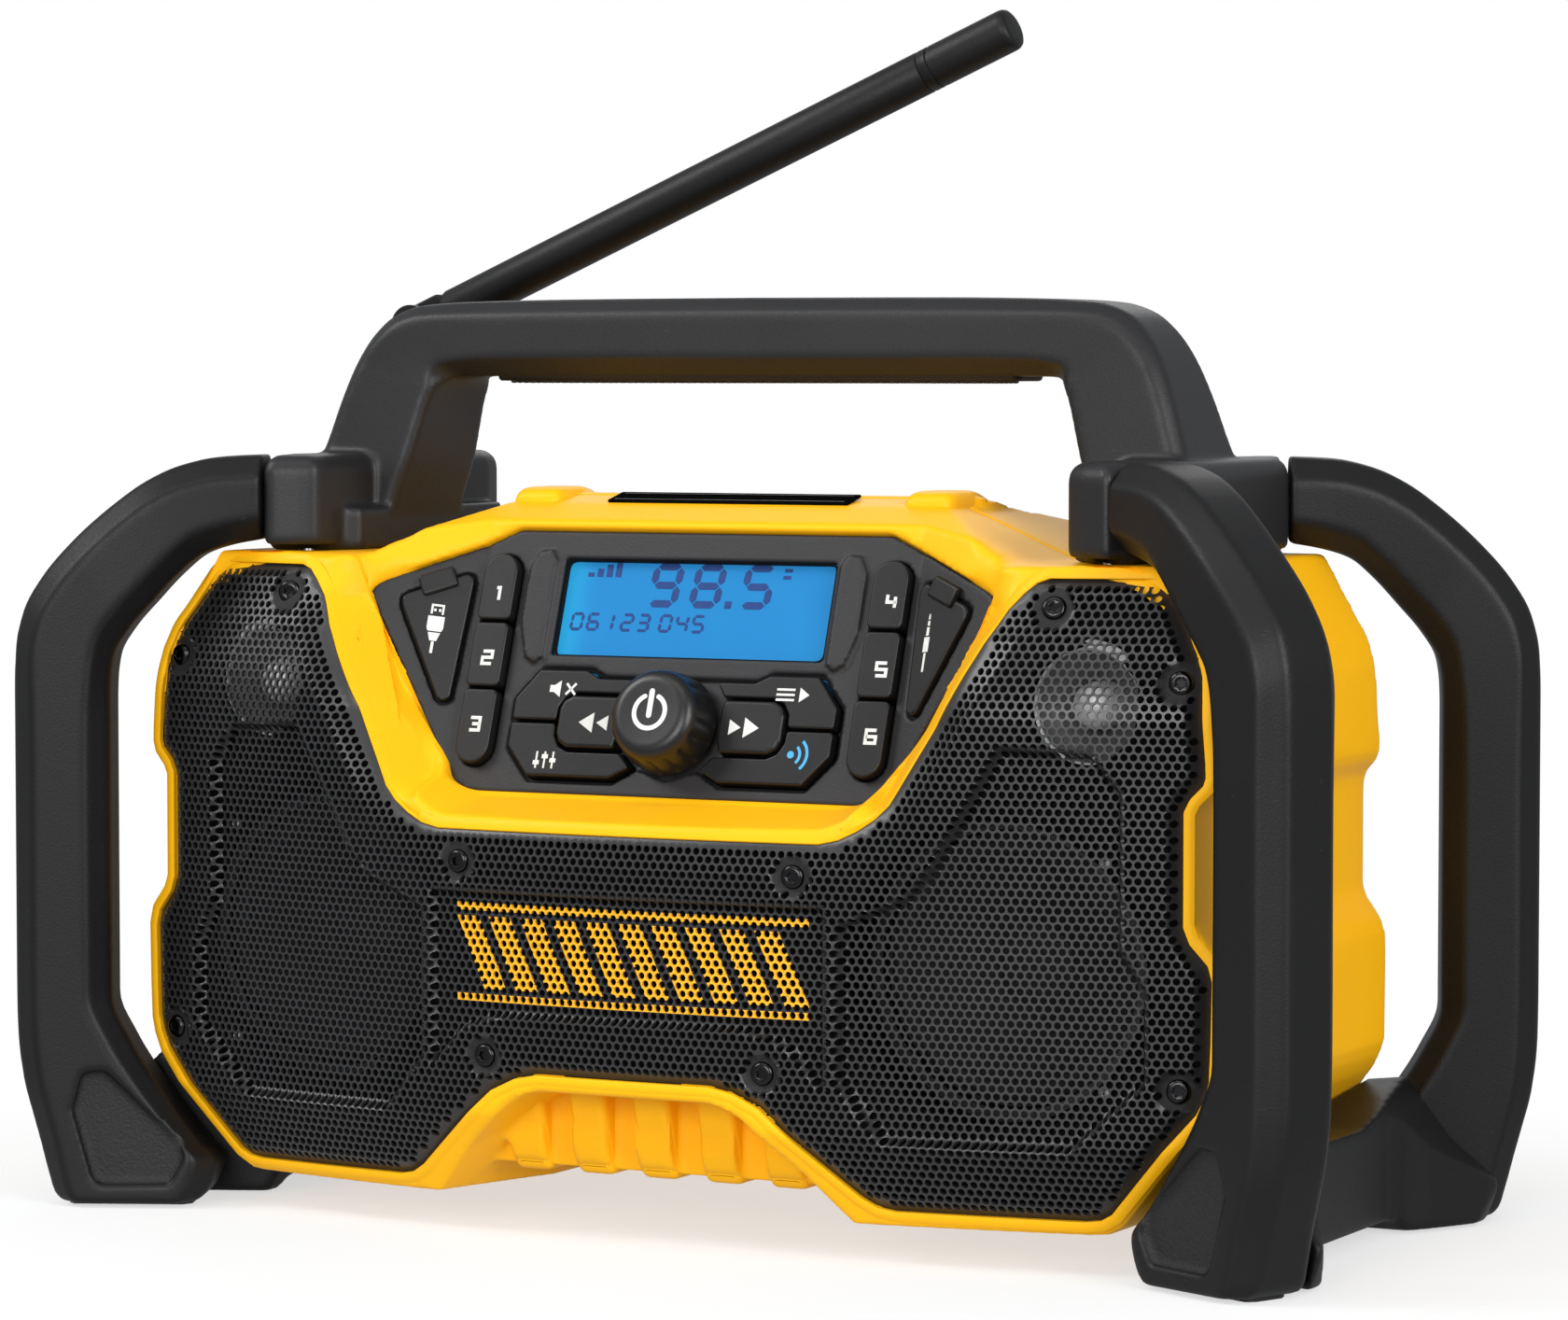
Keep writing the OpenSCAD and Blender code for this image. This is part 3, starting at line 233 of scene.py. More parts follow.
class Finish:
    """One material: a Principled shader, and node() for whatever feeds it."""

    def __init__(self, name, **constants):
        self.material = bpy.data.materials.new(name)
        self.material.use_nodes = True
        self.tree = self.material.node_tree
        self.tree.nodes.clear()
        self.shader = self.tree.nodes.new("ShaderNodeBsdfPrincipled")
        self.output = self.tree.nodes.new("ShaderNodeOutputMaterial")
        self.tree.links.new(self.shader.outputs[0], self.output.inputs[0])
        for key, value in constants.items():
            self.feed(key.replace("_", " "), value)

    def node(self, kind, settings=None, inputs=None, out=0):
        made = self.tree.nodes.new("ShaderNode" + kind)
        for key, value in (settings or {}).items():
            setattr(made, key, value)
        for key, value in (inputs or {}).items():
            self.put(made.inputs[key], value)
        return Link(self, made.outputs[out])

    def put(self, socket, value):
        if isinstance(value, Link):
            self.tree.links.new(value.socket, socket)
        else:
            socket.default_value = value

    def feed(self, name, value):
        if not isinstance(value, Link) and hasattr(value, "__len__") and len(value) == 3:
            value = (*value, 1.0)
        self.put(self.shader.inputs[name], value)

    def place(self):
        """x, y and z of the surface in millimetres, and the vector itself in metres."""
        spot = self.node("TexCoord", out="Object")
        parts = [self.node("SeparateXYZ", None, {0: spot}, out=i) * 1000.0 for i in range(3)]
        return spot, parts

    def noise(self, spot, size, detail=2.0, roughness=0.5, stretch=None):
        """Noise whose lumps are about size metres across."""
        if stretch:
            spot = self.node("Mapping", None, {0: spot, "Scale": stretch})
        return self.node("TexNoise", None,
                         {"Vector": spot, "Scale": 1.0 / size, "Detail": detail, "Roughness": roughness})

    def mix(self, share, first, second):
        first, second = [v if isinstance(v, Link) else (*v, 1.0) for v in (first, second)]
        return self.node("Mix", {"data_type": "RGBA"}, {0: share, 6: first, 7: second}, out=2)

    def bump(self, height, depth, under=None):
        values = {"Height": height, "Distance": depth, "Strength": 1.0}
        if under:
            values["Normal"] = under
        return self.node("Bump", None, values)


def tint(colour, k):
    return tuple(min(1.0, c * k) for c in colour)


FINISHES = {}


def finish_for(name, build):
    """Each finish is built once and shared by its pieces."""
    if name not in FINISHES:
        FINISHES[name] = build(name)
    return FINISHES[name]


def moulded(colour, gloss, grain, depth, spread=0.06, scuffs=0.0, coat=0.0, specular=0.5):
    """Moulded plastic or rubber: eroded grain, faint flow marks, handling scuffs."""

    def build(name):
        f = Finish(name, Coat_Weight=coat, Coat_Roughness=0.25, Specular_IOR_Level=specular)
        spot, _ = f.place()
        broad = f.noise(spot, 0.045, 3.0)
        fine = f.noise(spot, grain, 3.0, 0.6)
        scratch = f.noise(spot, 0.0035, 4.0, 0.7, stretch=(0.25, 1.0, 3.0)).ramp(0.66, 0.74)
        patch = f.noise(spot, 0.03, 2.0).ramp(0.52, 0.66)
        share = (broad - 0.5) * 1.6 + (fine - 0.5) * 0.7 + 0.5
        body = f.mix(share.clamped(), tint(colour, 1 - spread), tint(colour, 1 + spread))
        worn = scratch * patch * scuffs
        f.feed("Base Color", f.mix(worn, body, tuple(0.5 * c + 0.10 for c in colour)))
        f.feed("Roughness", (gloss + (broad - 0.5) * 0.12 + (fine - 0.5) * 0.16 + worn * 0.2).clamped())
        f.feed("Normal", f.bump(fine + scratch * patch * 0.4, depth))
        return f.material

    return build


def shell_finish():
    yellow = tuple(colours().shell)
    return finish_for("yellow_shell", moulded(yellow, 0.42, 0.00075, 0.00003, 0.03, 0.05, specular=0.15))


def cage_finish():
    return finish_for("cage_black", moulded(tuple(colours().cage), 0.46, 0.00065, 0.00006, 0.16, 0.22, specular=0.30))


# painted sheen: the handle is the same plastic as the cage, its black lightened 3.2 times for the satin sheen the bar
# catches
def handle_finish():
    lightened_cage = tint(colours().cage, 3.2)
    return finish_for("handle_charcoal", moulded(lightened_cage, 0.44, 0.00065, 0.00006, 0.12, 0.22, specular=0.36))


def stipple_finish():
    return finish_for("foot_stipple", moulded(tint(colours().cage, 0.9), 0.62, 0.0009, 0.0004, 0.3, 0.2))


def panel_finish():
    return finish_for("panel_grey", moulded(tuple(colours().panel), 0.50, 0.0005, 0.00009, 0.14, 0.2, specular=0.4))


def key_finish():
    return finish_for("key_black", moulded(tuple(colours().keys), 0.38, 0.0006, 0.00003, 0.14, 0.12, specular=0.36))


def knob_finish():
    return finish_for("knob_black", moulded(tint(colours().keys, 0.9), 0.36, 0.0007, 0.00002, 0.14, 0.15))


def baffle_finish():
    return finish_for("baffle_black", moulded((0.0035, 0.0035, 0.0035), 0.8, 0.0012, 0.0002, 0.3, 0.0, specular=0.1))


def print_finish(name, colour):
    def build(label):
        f = Finish(label, Specular_IOR_Level=0.4)
        spot, _ = f.place()
        wear = f.noise(spot, 0.0016, 4.0, 0.7).ramp(0.3, 0.75)
        f.feed("Base Color", f.mix(wear, colour, tint(colour, 0.88)))
        f.feed("Roughness", 0.42 + wear * 0.15)
        f.feed("Normal", f.bump(wear, 0.00001))
        return f.material

    return finish_for(name, build)


def grille_finish():
    """Black lacquered sheet, with slanted yellow bars printed across the middle field, and shade painted near black
    round each screw.
    """

    def build(name):
        metal, yellow = tuple(colours().metal), tint(colours().shell, 0.92)
        f = Finish(name, Specular_IOR_Level=0.6)
        spot, (x, _, z) = f.place()
        broad = f.noise(spot, 0.03, 3.0)
        fine = f.noise(spot, 0.0006, 3.0, 0.6)
        lacquer = f.mix(broad, tint(metal, 0.8), tint(metal, 1.3))
        within = (x > MARK_X[0]) * (x < MARK_X[1]) * (z > MARK_Z[0]) * (z < MARK_Z[1])
        lines = (within * ((z > MARK_LINES[1]) + (z < MARK_LINES[0]))).clamped()
        along = x + (z - BAR_MIDDLE) * BAR_LEAN + BAR_START
        bars = (along > 0.0) * (along < BAR_RUN) * ((along % BAR_PITCH) < BAR_WIDTH) * (abs(z - BAR_MIDDLE) < BAR_HALF)
        worn = f.noise(spot, 0.0007, 3.0, 0.7).ramp(0.28, 0.42)
        ink = (lines + bars).clamped() * worn
        # painted shade: round each screw the lacquer is painted near black and made rougher, for the shade in the
        # pressed pad
        painted_screw_shade = None
        for sx, sz in GRILLE_SCREWS:
            near = ((abs(x) - sx) ** 2.0 + (z - sz) ** 2.0) < SCREW_SHADE
            painted_screw_shade = near if painted_screw_shade is None else painted_screw_shade + near
        lacquer = f.mix(painted_screw_shade.clamped(), lacquer, (0.003, 0.003, 0.003))
        f.feed("Base Color", f.mix(ink, lacquer, yellow))
        gloss = 0.28 + broad * 0.08 + fine * 0.1
        f.feed("Roughness", (gloss + ink * 0.12 + painted_screw_shade.clamped() * 0.4).clamped())
        f.feed("Normal", f.bump(fine, 0.00002))
        return f.material

    return finish_for("grille_lacquer", build)


def metal_finish(name, colour, gloss, brushed=0.0012, metallic=1.0):
    def build(label):
        f = Finish(label, Metallic=metallic)
        spot, _ = f.place()
        broad = f.noise(spot, 0.012, 3.0)
        fine = f.noise(spot, brushed, 4.0, 0.6, stretch=(1.0, 1.0, 5.0))
        f.feed("Base Color", f.mix((broad * 0.6 + fine * 0.4).clamped(), tint(colour, 0.8), tint(colour, 1.15)))
        f.feed("Roughness", (gloss + (fine - 0.5) * 0.2).clamped())
        f.feed("Normal", f.bump(fine, 0.00002))
        return f.material

    return finish_for(name, build)


def board_finish():
    """Green solder mask with tracks."""

    def build(name):
        f = Finish(name, Specular_IOR_Level=0.6)
        spot, (x, _, _) = f.place()
        tracks = ((x + f.noise(spot, 0.02) * 6.0) % 2.4) < 0.9
        lanes = f.noise(spot, 0.008, 0.0) > 0.5
        mask = tracks * lanes
        f.feed("Base Color", f.mix(mask, (0.008, 0.07, 0.02), (0.02, 0.16, 0.05)))
        f.feed("Roughness", 0.35 + mask * 0.1)
        f.feed("Normal", f.bump(mask, 0.00003))
        return f.material

    return finish_for("board_green", build)


def cone_finish():
    def build(name):
        f = Finish(name)
        spot, _ = f.place()
        pulp = f.noise(spot, 0.0015, 4.0, 0.7)
        f.feed("Base Color", f.mix(pulp, (0.006, 0.006, 0.006), (0.014, 0.014, 0.014)))
        f.feed("Roughness", 0.7 + pulp * 0.2)
        f.feed("Normal", f.bump(pulp, 0.0001))
        return f.material

    return finish_for("paper_cone", build)


def display_finish():
    """Lit liquid crystal glass: brighter at its left edge, where the lamp is."""

    def build(name):
        blue = tuple(colours().display)
        f = Finish(name, Roughness=0.5, Emission_Strength=0.62, Specular_IOR_Level=0.1)
        spot, (x, _, z) = f.place()
        near_lamp = 1 - (x + 43.0).ramp(0.0, 11.0)
        cloud = f.noise(spot, 0.02, 1.0)
        pixels = ((x % 0.6) < 0.07).maths("MAXIMUM", (z % 0.6) < 0.07)
        share = (near_lamp * 0.75 + (cloud - 0.5) * 0.3).clamped()
        glow = f.mix(share, blue, (0.014, 0.33, 0.60))
        shown = f.mix(pixels * 0.10, glow, tint(blue, 0.6))
        f.feed("Base Color", shown)
        f.feed("Emission Color", shown)
        return f.material

    return finish_for("lit_display", build)


def lens_finish():
    """Clear acrylic window, almost unseen but for its gloss."""

    def build(name):
        f = Finish(name, Base_Color=(0.02, 0.05, 0.09), Alpha=0.10, IOR=1.49, Coat_Weight=0.1, Coat_Roughness=0.03)
        spot, _ = f.place()
        haze = f.noise(spot, 0.006, 3.0)
        f.feed("Roughness", 0.05 + haze * 0.06)
        f.feed("Normal", f.bump(haze, 0.00001))
        return f.material

    return finish_for("clear_window", build)


# ---- outlines ----
def signed_area(points):
    x, y = np.asarray(points, float).T
    return 0.5 * float(np.sum(x * np.roll(y, -1) - y * np.roll(x, -1)))


def anticlockwise(points):
    points = [tuple(p) for p in points]
    return points if signed_area(points) > 0 else points[::-1]


def rounded(points, radius, steps=4):
    """The outline with each corner turned into an arc; radius is one number or one for each corner."""
    p = [np.array(q, float) for q in points]
    n = len(p)
    radii = radius if hasattr(radius, "__len__") else [radius] * n
    out = []
    for i in range(n):
        a, b = p[i - 1] - p[i], p[(i + 1) % n] - p[i]
        la, lb = np.linalg.norm(a), np.linalg.norm(b)
        a, b = a / la, b / lb
        half = math.acos(max(-1.0, min(1.0, float(a @ b)))) / 2
        if half > math.radians(87) or radii[i] <= 0:
            out.append(p[i])
            continue
        t = min(radii[i] / math.tan(half), 0.46 * la, 0.46 * lb)
        for k in range(steps + 1):
            s = k / steps
            out.append((1 - s) ** 2 * (p[i] + a * t) + 2 * s * (1 - s) * p[i] + s * s * (p[i] + b * t))
    return np.array(out)


def inset(points, depth):
    """The anticlockwise outline moved inwards by depth."""
    p = np.asarray(points, float)
    edge = np.roll(p, -1, 0) - p
    edge /= np.maximum(np.linalg.norm(edge, axis=1, keepdims=True), 1e-9)
    normal = np.stack([-edge[:, 1], edge[:, 0]], 1)
    mitre = normal + np.roll(normal, 1, 0)
    mitre /= np.maximum(np.linalg.norm(mitre, axis=1, keepdims=True), 1e-9)
    reach = depth / np.maximum(np.sum(mitre * normal, 1), 0.6)
    return p + mitre * reach[:, None]


def divided(points, step):
    """The closed outline with points no further apart than step."""
    p = np.asarray(points, float)
    out = []
    for a, b in zip(p, np.roll(p, -1, 0)):
        k = max(1, int(math.ceil(np.linalg.norm(b - a) / step)))
        out += [a + (b - a) * i / k for i in range(k)]
    return np.array(out)


def edge_distance(spots, outline, closed=True):
    """Distance of each spot to the line through the outline's points."""
    p = np.asarray(outline, float)
    a, b = (p, np.roll(p, -1, 0)) if closed else (p[:-1], p[1:])
    best = np.full(len(spots), 1e9)
    for s, e in zip(a, b):
        d = e - s
        t = np.clip(((spots - s) @ d) / max(float(d @ d), 1e-9), 0, 1)
        best = np.minimum(best, np.linalg.norm(spots - s - t[:, None] * d, axis=1))
    return best


def inside(spots, outline):
    p = np.asarray(outline, float)
    x, y = spots[:, 0], spots[:, 1]
    hit = np.zeros(len(spots), bool)
    for (x0, y0), (x1, y1) in zip(p, np.roll(p, -1, 0)):
        if y0 != y1:
            hit ^= ((y0 > y) != (y1 > y)) & (x < (x1 - x0) * (y - y0) / (y1 - y0) + x0)
    return hit


def signed_distance(spots, outline):
    d = edge_distance(spots, outline)
    return np.where(inside(spots, outline), d, -d)


def smooth(t):
    t = np.clip(t, 0, 1)
    return t * t * (3 - 2 * t)


# ---- coordinates ----
def on_panel(points):
    """x across, y up the panel, z out of it, to the radio's own axes."""
    p = np.asarray(points, float)
    x, y, z = p[..., 0], p[..., 1], p[..., 2]
    return np.stack([x, PANEL_Y + math.sin(LEAN) * y - math.cos(LEAN) * z,
                     PANEL_Z + math.cos(LEAN) * y + math.sin(LEAN) * z], -1)


def on_wing(side):
    """Coordinates of the folded wing at that side."""

    def place(points):
        p = np.asarray(points, float)
        x, y, z = p[..., 0], p[..., 1], p[..., 2]
        c, s = WING_SLOPE
        return on_panel(np.stack([side * (CREASE + x * c - z * s), y, x * s + z * c], -1))

    return place


def plain_front(x, z):
    """y of the solids' front at x, z: an arc in plan that leans back at top and bottom."""
    x, z = np.asarray(x, float), np.asarray(z, float)
    return -FRONT_Y + x * x / (2 * FRONT_R) + 0.4 * np.maximum(0, z - 168) + 0.376 * np.maximum(0, 35 - z)


def set_back(x, z):
    """How far the moulded front lies behind the plain one: turned over at the top, fallen towards the panel."""
    x, z = np.abs(np.asarray(x, float)), np.asarray(z, float)
    turned = 7.2 * smooth((z - 146) / 30)
    spots = np.column_stack([np.ravel(x), np.ravel(z)])
    edge = np.array([(0, 113.9)] + GRILLE_IN + [(116, 250)])
    away = edge_distance(spots, edge, closed=False)
    over = inside(spots, np.concatenate([edge, [(0, 250)]]))
    share = np.where(over, 1.0, np.clip(1 - away / 9.0, 0, 1)).reshape(x.shape)
    return turned + share * np.interp(z, (114, 128, 145, 160, 181), (0, 2.9, 5.7, 2.5, 0.5))


def front_face(x, z):
    """y of the body's moulded front at x, z."""
    return plain_front(x, z) + set_back(x, z)


def beside_panel(x, z):
    """y of the sloping band between a wing of the panel and the grille."""
    spots = np.column_stack([np.abs(x), z])
    wing = [(68.9, 126.5), (97.6, 176.5), (92, 189)]
    to_wing = edge_distance(spots, wing, closed=False)
    to_grille = edge_distance(spots, GRILLE_IN, closed=False)
    share = to_wing / np.maximum(to_wing + to_grille, 1e-6)
    low = -64.6 + (z - 127.5) * 0.11
    return low + (front_face(x, z) - low) * share


# ---- meshes ----
def to_mesh(name, points, faces, outward=True):
    mesh = bpy.data.meshes.new(name)
    mesh.from_pydata((np.asarray(points, float) * MM).tolist(), [], [list(map(int, f)) for f in faces])
    mesh.validate()
    if outward:
        turn_outward(mesh)
    return mesh


def turn_outward(mesh, merge=0.0):
    bm = bmesh.new()
    bm.from_mesh(mesh)
    if merge:
        bmesh.ops.remove_doubles(bm, verts=bm.verts, dist=merge)
    bmesh.ops.recalc_face_normals(bm, faces=bm.faces)
    bm.to_mesh(mesh)
    bm.free()
    mesh.update()


def gather(parts):
    """Several (points, faces) as one."""
    points, faces, start = [], [], 0
    for p, f in parts:
        points.append(np.asarray(p, float))
        faces += [[i + start for i in face] for face in f]
        start += len(p)
    return np.concatenate(points), faces


def skin(rings, capped=True):
    """Faces through rings of equally many points."""
    rings = [np.asarray(r, float) for r in rings]
    n, m = len(rings[0]), len(rings)
    faces = []
    for k in range(m - 1):
        for j in range(n):
            a, b = k * n + j, k * n + (j + 1) % n
            faces.append((a, b, b + n, a + n))
    if capped:
        faces.append(tuple(range(n))[::-1])
        faces.append(tuple(range((m - 1) * n, m * n)))
    return np.concatenate(rings), faces


def block(outline, low, high, edge=0.8, steps=3, lower_edge=0.0, place=None):
    """A plate with that outline between two heights, its upper edge rounded."""
    outline = np.array(anticlockwise(outline))
    rings = []

    def ring(depth, height):
        p = inset(outline, depth) if depth else outline
        rings.append(np.column_stack([p, np.full(len(p), height)]))

    if lower_edge:
        ring(lower_edge * 1.25, low)
        for k in range(steps + 1):
            t = math.pi / 2 * k / steps
            ring(lower_edge * (1 - math.sin(t)), low + lower_edge * (1 - math.cos(t)))
    else:
        ring(0, low)
    for k in range(steps + 1):
        t = math.pi / 2 * k / steps
        ring(edge * (1 - math.cos(t)), high - edge * (1 - math.sin(t)))
    ring(edge * 1.1, high)
    points, faces = skin(rings)
    return (place(points) if place else points), faces


def lathe(profile, segments, place=None, swell=None):
    """A turned shape from (radius, height) pairs; swell(angle, radius, height) changes the radius."""
    points, faces = [], []
    angles = np.arange(segments) * 2 * math.pi / segments
    rows = []
    for r, h in profile:
        if r < 1e-6:
            rows.append([len(points)])
            points.append((0, 0, h))
            continue
        rows.append(list(range(len(points), len(points) + segments)))
        for a in angles:
            rr = swell(a, r, h) if swell else r
            points.append((rr * math.cos(a), rr * math.sin(a), h))
    for low, high in zip(rows, rows[1:]):
        for j in range(segments):
            k = (j + 1) % segments
            if len(low) == 1:
                faces.append((low[0], high[k], high[j]))
            elif len(high) == 1:
                faces.append((low[j], low[k], high[0]))
            else:
                faces.append((low[j], low[k], high[k], high[j]))
    points = np.array(points)
    return (place(points) if place else points), faces


def stroke(line, width, closed=False):
    """A flat band along a line, mitred at its corners, as quads between left and right points."""
    p = np.asarray(line, float)
    n = len(p)
    normals = []
    for i in range(n):
        before = p[i] - p[i - 1] if (i or closed) else p[1] - p[0]
        after = p[(i + 1) % n] - p[i] if (i < n - 1 or closed) else p[-1] - p[-2]
        before, after = before / np.linalg.norm(before), after / np.linalg.norm(after)
        na, nb = np.array([-before[1], before[0]]), np.array([-after[1], after[0]])
        m = na + nb
        m /= max(np.linalg.norm(m), 1e-6)
        normals.append(m / max(float(m @ nb), 0.5))
    normals = np.array(normals) * width / 2
    return p + normals, p - normals


def band(line, width, z0, z1, place, closed=False):
    left, right = stroke(line, width, closed)
    n = len(left)
    rows = [np.column_stack([side, np.full(n, z)]) for z in (z0, z1) for side in (left, right)]
    l0, r0, l1, r1 = (k * n for k in range(4))
    faces = []
    for i in range(n if closed else n - 1):
        j = (i + 1) % n
        faces += [(l1 + i, r1 + i, r1 + j, l1 + j), (l0 + i, l0 + j, r0 + j, r0 + i),
                  (l0 + i, l1 + i, l1 + j, l0 + j), (r0 + i, r0 + j, r1 + j, r1 + i)]
    if not closed:
        faces += [(l0, r0, r1, l1), (l0 + n - 1, l1 + n - 1, r1 + n - 1, r0 + n - 1)]
    return place(np.concatenate(rows)), faces


def plaque(outline, z0, z1, place):
    """A thin printed shape with that outline."""
    return block(outline, z0, z1, edge=0.02, steps=1, place=place)


def arc(cx, cy, r, start, end, steps=16):
    return [(cx + r * math.cos(a), cy + r * math.sin(a)) for a in np.radians(np.linspace(start, end, steps + 1))]


# ---- pieces ----
def piece(name, mesh, materials, body, replaced=(), sharp=38):
    obj = bpy.data.objects.new(name, mesh)
    bpy.context.scene.collection.objects.link(obj)
    for material in materials if isinstance(materials, (list, tuple)) else [materials]:
        mesh.materials.append(material)
    mesh.shade_smooth()
    mesh.set_sharp_from_angle(angle=math.radians(sharp))
    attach(obj, body)
    if replaced:
        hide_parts(*replaced)
    return obj


def built(name, parts, materials, body, replaced=(), sharp=38):
    points, faces = gather(parts)
    return piece(name, to_mesh(name, points, faces), materials, body, replaced, sharp)


def cad_copy(*nodes):
    """One merged mesh of copies of CAD nodes."""
    bm = bmesh.new()
    for node in nodes:
        bm.from_mesh(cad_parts[node].data)
    bmesh.ops.remove_doubles(bm, verts=bm.verts, dist=2e-6)
    mesh = bpy.data.meshes.new("copy_" + nodes[0])
    bm.to_mesh(mesh)
    bm.free()
    return mesh


def softened(mesh, voxel, passes, most=190000, factor=0.5):
    """The closed mesh remeshed at voxel metres, smoothed, and thinned to a number of triangles."""
    obj = bpy.data.objects.new("soften", mesh)
    bpy.context.scene.collection.objects.link(obj)
    remesh = obj.modifiers.new("remesh", "REMESH")
    remesh.mode, remesh.voxel_size, remesh.adaptivity = "VOXEL", voxel, 0.0
    if passes:
        ease = obj.modifiers.new("ease", "SMOOTH")
        ease.factor, ease.iterations = factor, passes
    result = evaluated(obj)
    triangles = 2 * len(result.polygons)
    if triangles > most:
        obj.modifiers.clear()
        obj.data = result
        thin = obj.modifiers.new("thin", "DECIMATE")
        thin.ratio = most / triangles
        result = evaluated(obj)
    bpy.data.objects.remove(obj)
    return result


def eased(mesh, points, share, passes):
    """The points moved towards the mean of their neighbours, passes times, as far as share says."""
    pairs = np.zeros(len(mesh.edges) * 2, np.int32)
    mesh.edges.foreach_get("vertices", pairs)
    a, b = pairs.reshape(-1, 2).T
    count = np.bincount(a, minlength=len(points)) + np.bincount(b, minlength=len(points))
    for _ in range(passes):
        sums = [np.bincount(a, points[b, k], len(points)) + np.bincount(b, points[a, k], len(points))
                for k in range(3)]
        mean = np.stack(sums, 1) / np.maximum(count, 1)[:, None]
        points = points + 0.6 * share[:, None] * (mean - points)
    return points


def evaluated(obj):
    graph = bpy.context.evaluated_depsgraph_get()
    graph.update()
    return bpy.data.meshes.new_from_object(obj.evaluated_get(graph), depsgraph=graph)


def vertices_of(mesh):
    """The mesh's points in millimetres."""
    points = np.zeros(len(mesh.vertices) * 3, np.float32)
    mesh.vertices.foreach_get("co", points)
    return points.reshape(-1, 3).astype(float) / MM


def place_vertices(mesh, points):
    mesh.vertices.foreach_set("co", (points * MM).astype(np.float32).ravel())
    mesh.update()


def paint_faces(mesh, index, chosen):
    mesh.polygons.foreach_set("material_index", np.where(chosen, index, 0).astype(np.int32))
    mesh.update()


def face_middles(mesh):
    middles = np.zeros(len(mesh.polygons) * 3, np.float32)
    mesh.polygons.foreach_get("center", middles)
    return middles.reshape(-1, 3).astype(float) / MM


class NodeMesh:
    """A small Geometry Nodes tree under construction; make() runs it and returns a plain mesh."""

    def __init__(self, name, **inputs):
        self.tree = bpy.data.node_groups.new(name, "GeometryNodeTree")
        self.values = {}
        face = self.tree.interface
        face.new_socket("Geometry", in_out="INPUT", socket_type="NodeSocketGeometry")
        for key, (kind, value) in inputs.items():
            socket = face.new_socket(key, in_out="INPUT", socket_type="NodeSocket" + kind)
            self.values[socket.identifier] = value
        face.new_socket("Geometry", in_out="OUTPUT", socket_type="NodeSocketGeometry")
        self.source = self.tree.nodes.new("NodeGroupInput")
        self.end = self.tree.nodes.new("NodeGroupOutput")

    def given(self, name):
        return self.source.outputs[name]

    def node(self, kind, settings=None, inputs=None, out=0):
        made = self.tree.nodes.new(kind)
        for key, value in (settings or {}).items():
            setattr(made, key, value)
        for key, value in (inputs or {}).items():
            if isinstance(value, bpy.types.NodeSocket):
                self.tree.links.new(value, made.inputs[key])
            else:
                made.inputs[key].default_value = value
        return made.outputs[out]

    def make(self, instances, carrier):
        real = self.node("GeometryNodeRealizeInstances", None, {0: instances})
        done = self.node("GeometryNodeSetMaterial", None, {"Geometry": real, "Material": self.given("Finish")})
        self.tree.links.new(done, self.end.inputs[0])
        obj = bpy.data.objects.new("carrier", carrier)
        bpy.context.scene.collection.objects.link(obj)
        modifier = obj.modifiers.new("nodes", "NODES")
        modifier.node_group = self.tree
        for identifier, value in self.values.items():
            modifier[identifier] = value
        mesh = evaluated(obj)
        bpy.data.objects.remove(obj)
        return mesh


def points_mesh(name, points, **vectors):
    mesh = bpy.data.meshes.new(name)
    mesh.from_pydata((np.asarray(points, float)).tolist(), [], [])
    for key, rows in vectors.items():
        attribute = mesh.attributes.new(key, "FLOAT_VECTOR", "POINT")
        attribute.data.foreach_set("vector", np.asarray(rows, np.float32).ravel())
    return mesh


def scattered(name, shape_parts, places, turns, finish):
    """A shape repeated at places (mm) with Euler turns, through a Geometry Nodes tree, as one mesh."""
    points, faces = gather(shape_parts)
    shape = bpy.data.objects.new(name + "_shape", to_mesh(name + "_shape", points, faces))
    bpy.context.scene.collection.objects.link(shape)
    tree = NodeMesh(name, Shape=("Object", shape), Size=("Float", 1.0), Finish=("Material", finish))
    info = tree.node("GeometryNodeObjectInfo", {"transform_space": "ORIGINAL"}, {"Object": tree.given("Shape")},
                     out="Geometry")
    turn = tree.node("GeometryNodeInputNamedAttribute", {"data_type": "FLOAT_VECTOR"}, {"Name": "turn"})
    spin = tree.node("FunctionNodeEulerToRotation", None, {0: turn})
    copies = tree.node("GeometryNodeInstanceOnPoints", None,
                       {"Points": tree.given("Geometry"), "Instance": info, "Rotation": spin,
                        "Scale": tree.given("Size")})
    mesh = tree.make(copies, points_mesh(name, np.asarray(places, float) * MM, turn=turns))
    bpy.data.objects.remove(shape)
    mesh.materials.clear()
    return mesh


# ---- operators ----
class PieceOperator(bpy.types.Operator):
    """Base of the operators that build one group of pieces"""

    bl_idname = "radio.base"
    bl_label = "Radio piece"
    bl_options = {"REGISTER", "UNDO"}

    def build(self):
        raise NotImplementedError

    def execute(self, context):
        self.build()
        return {"FINISHED"}


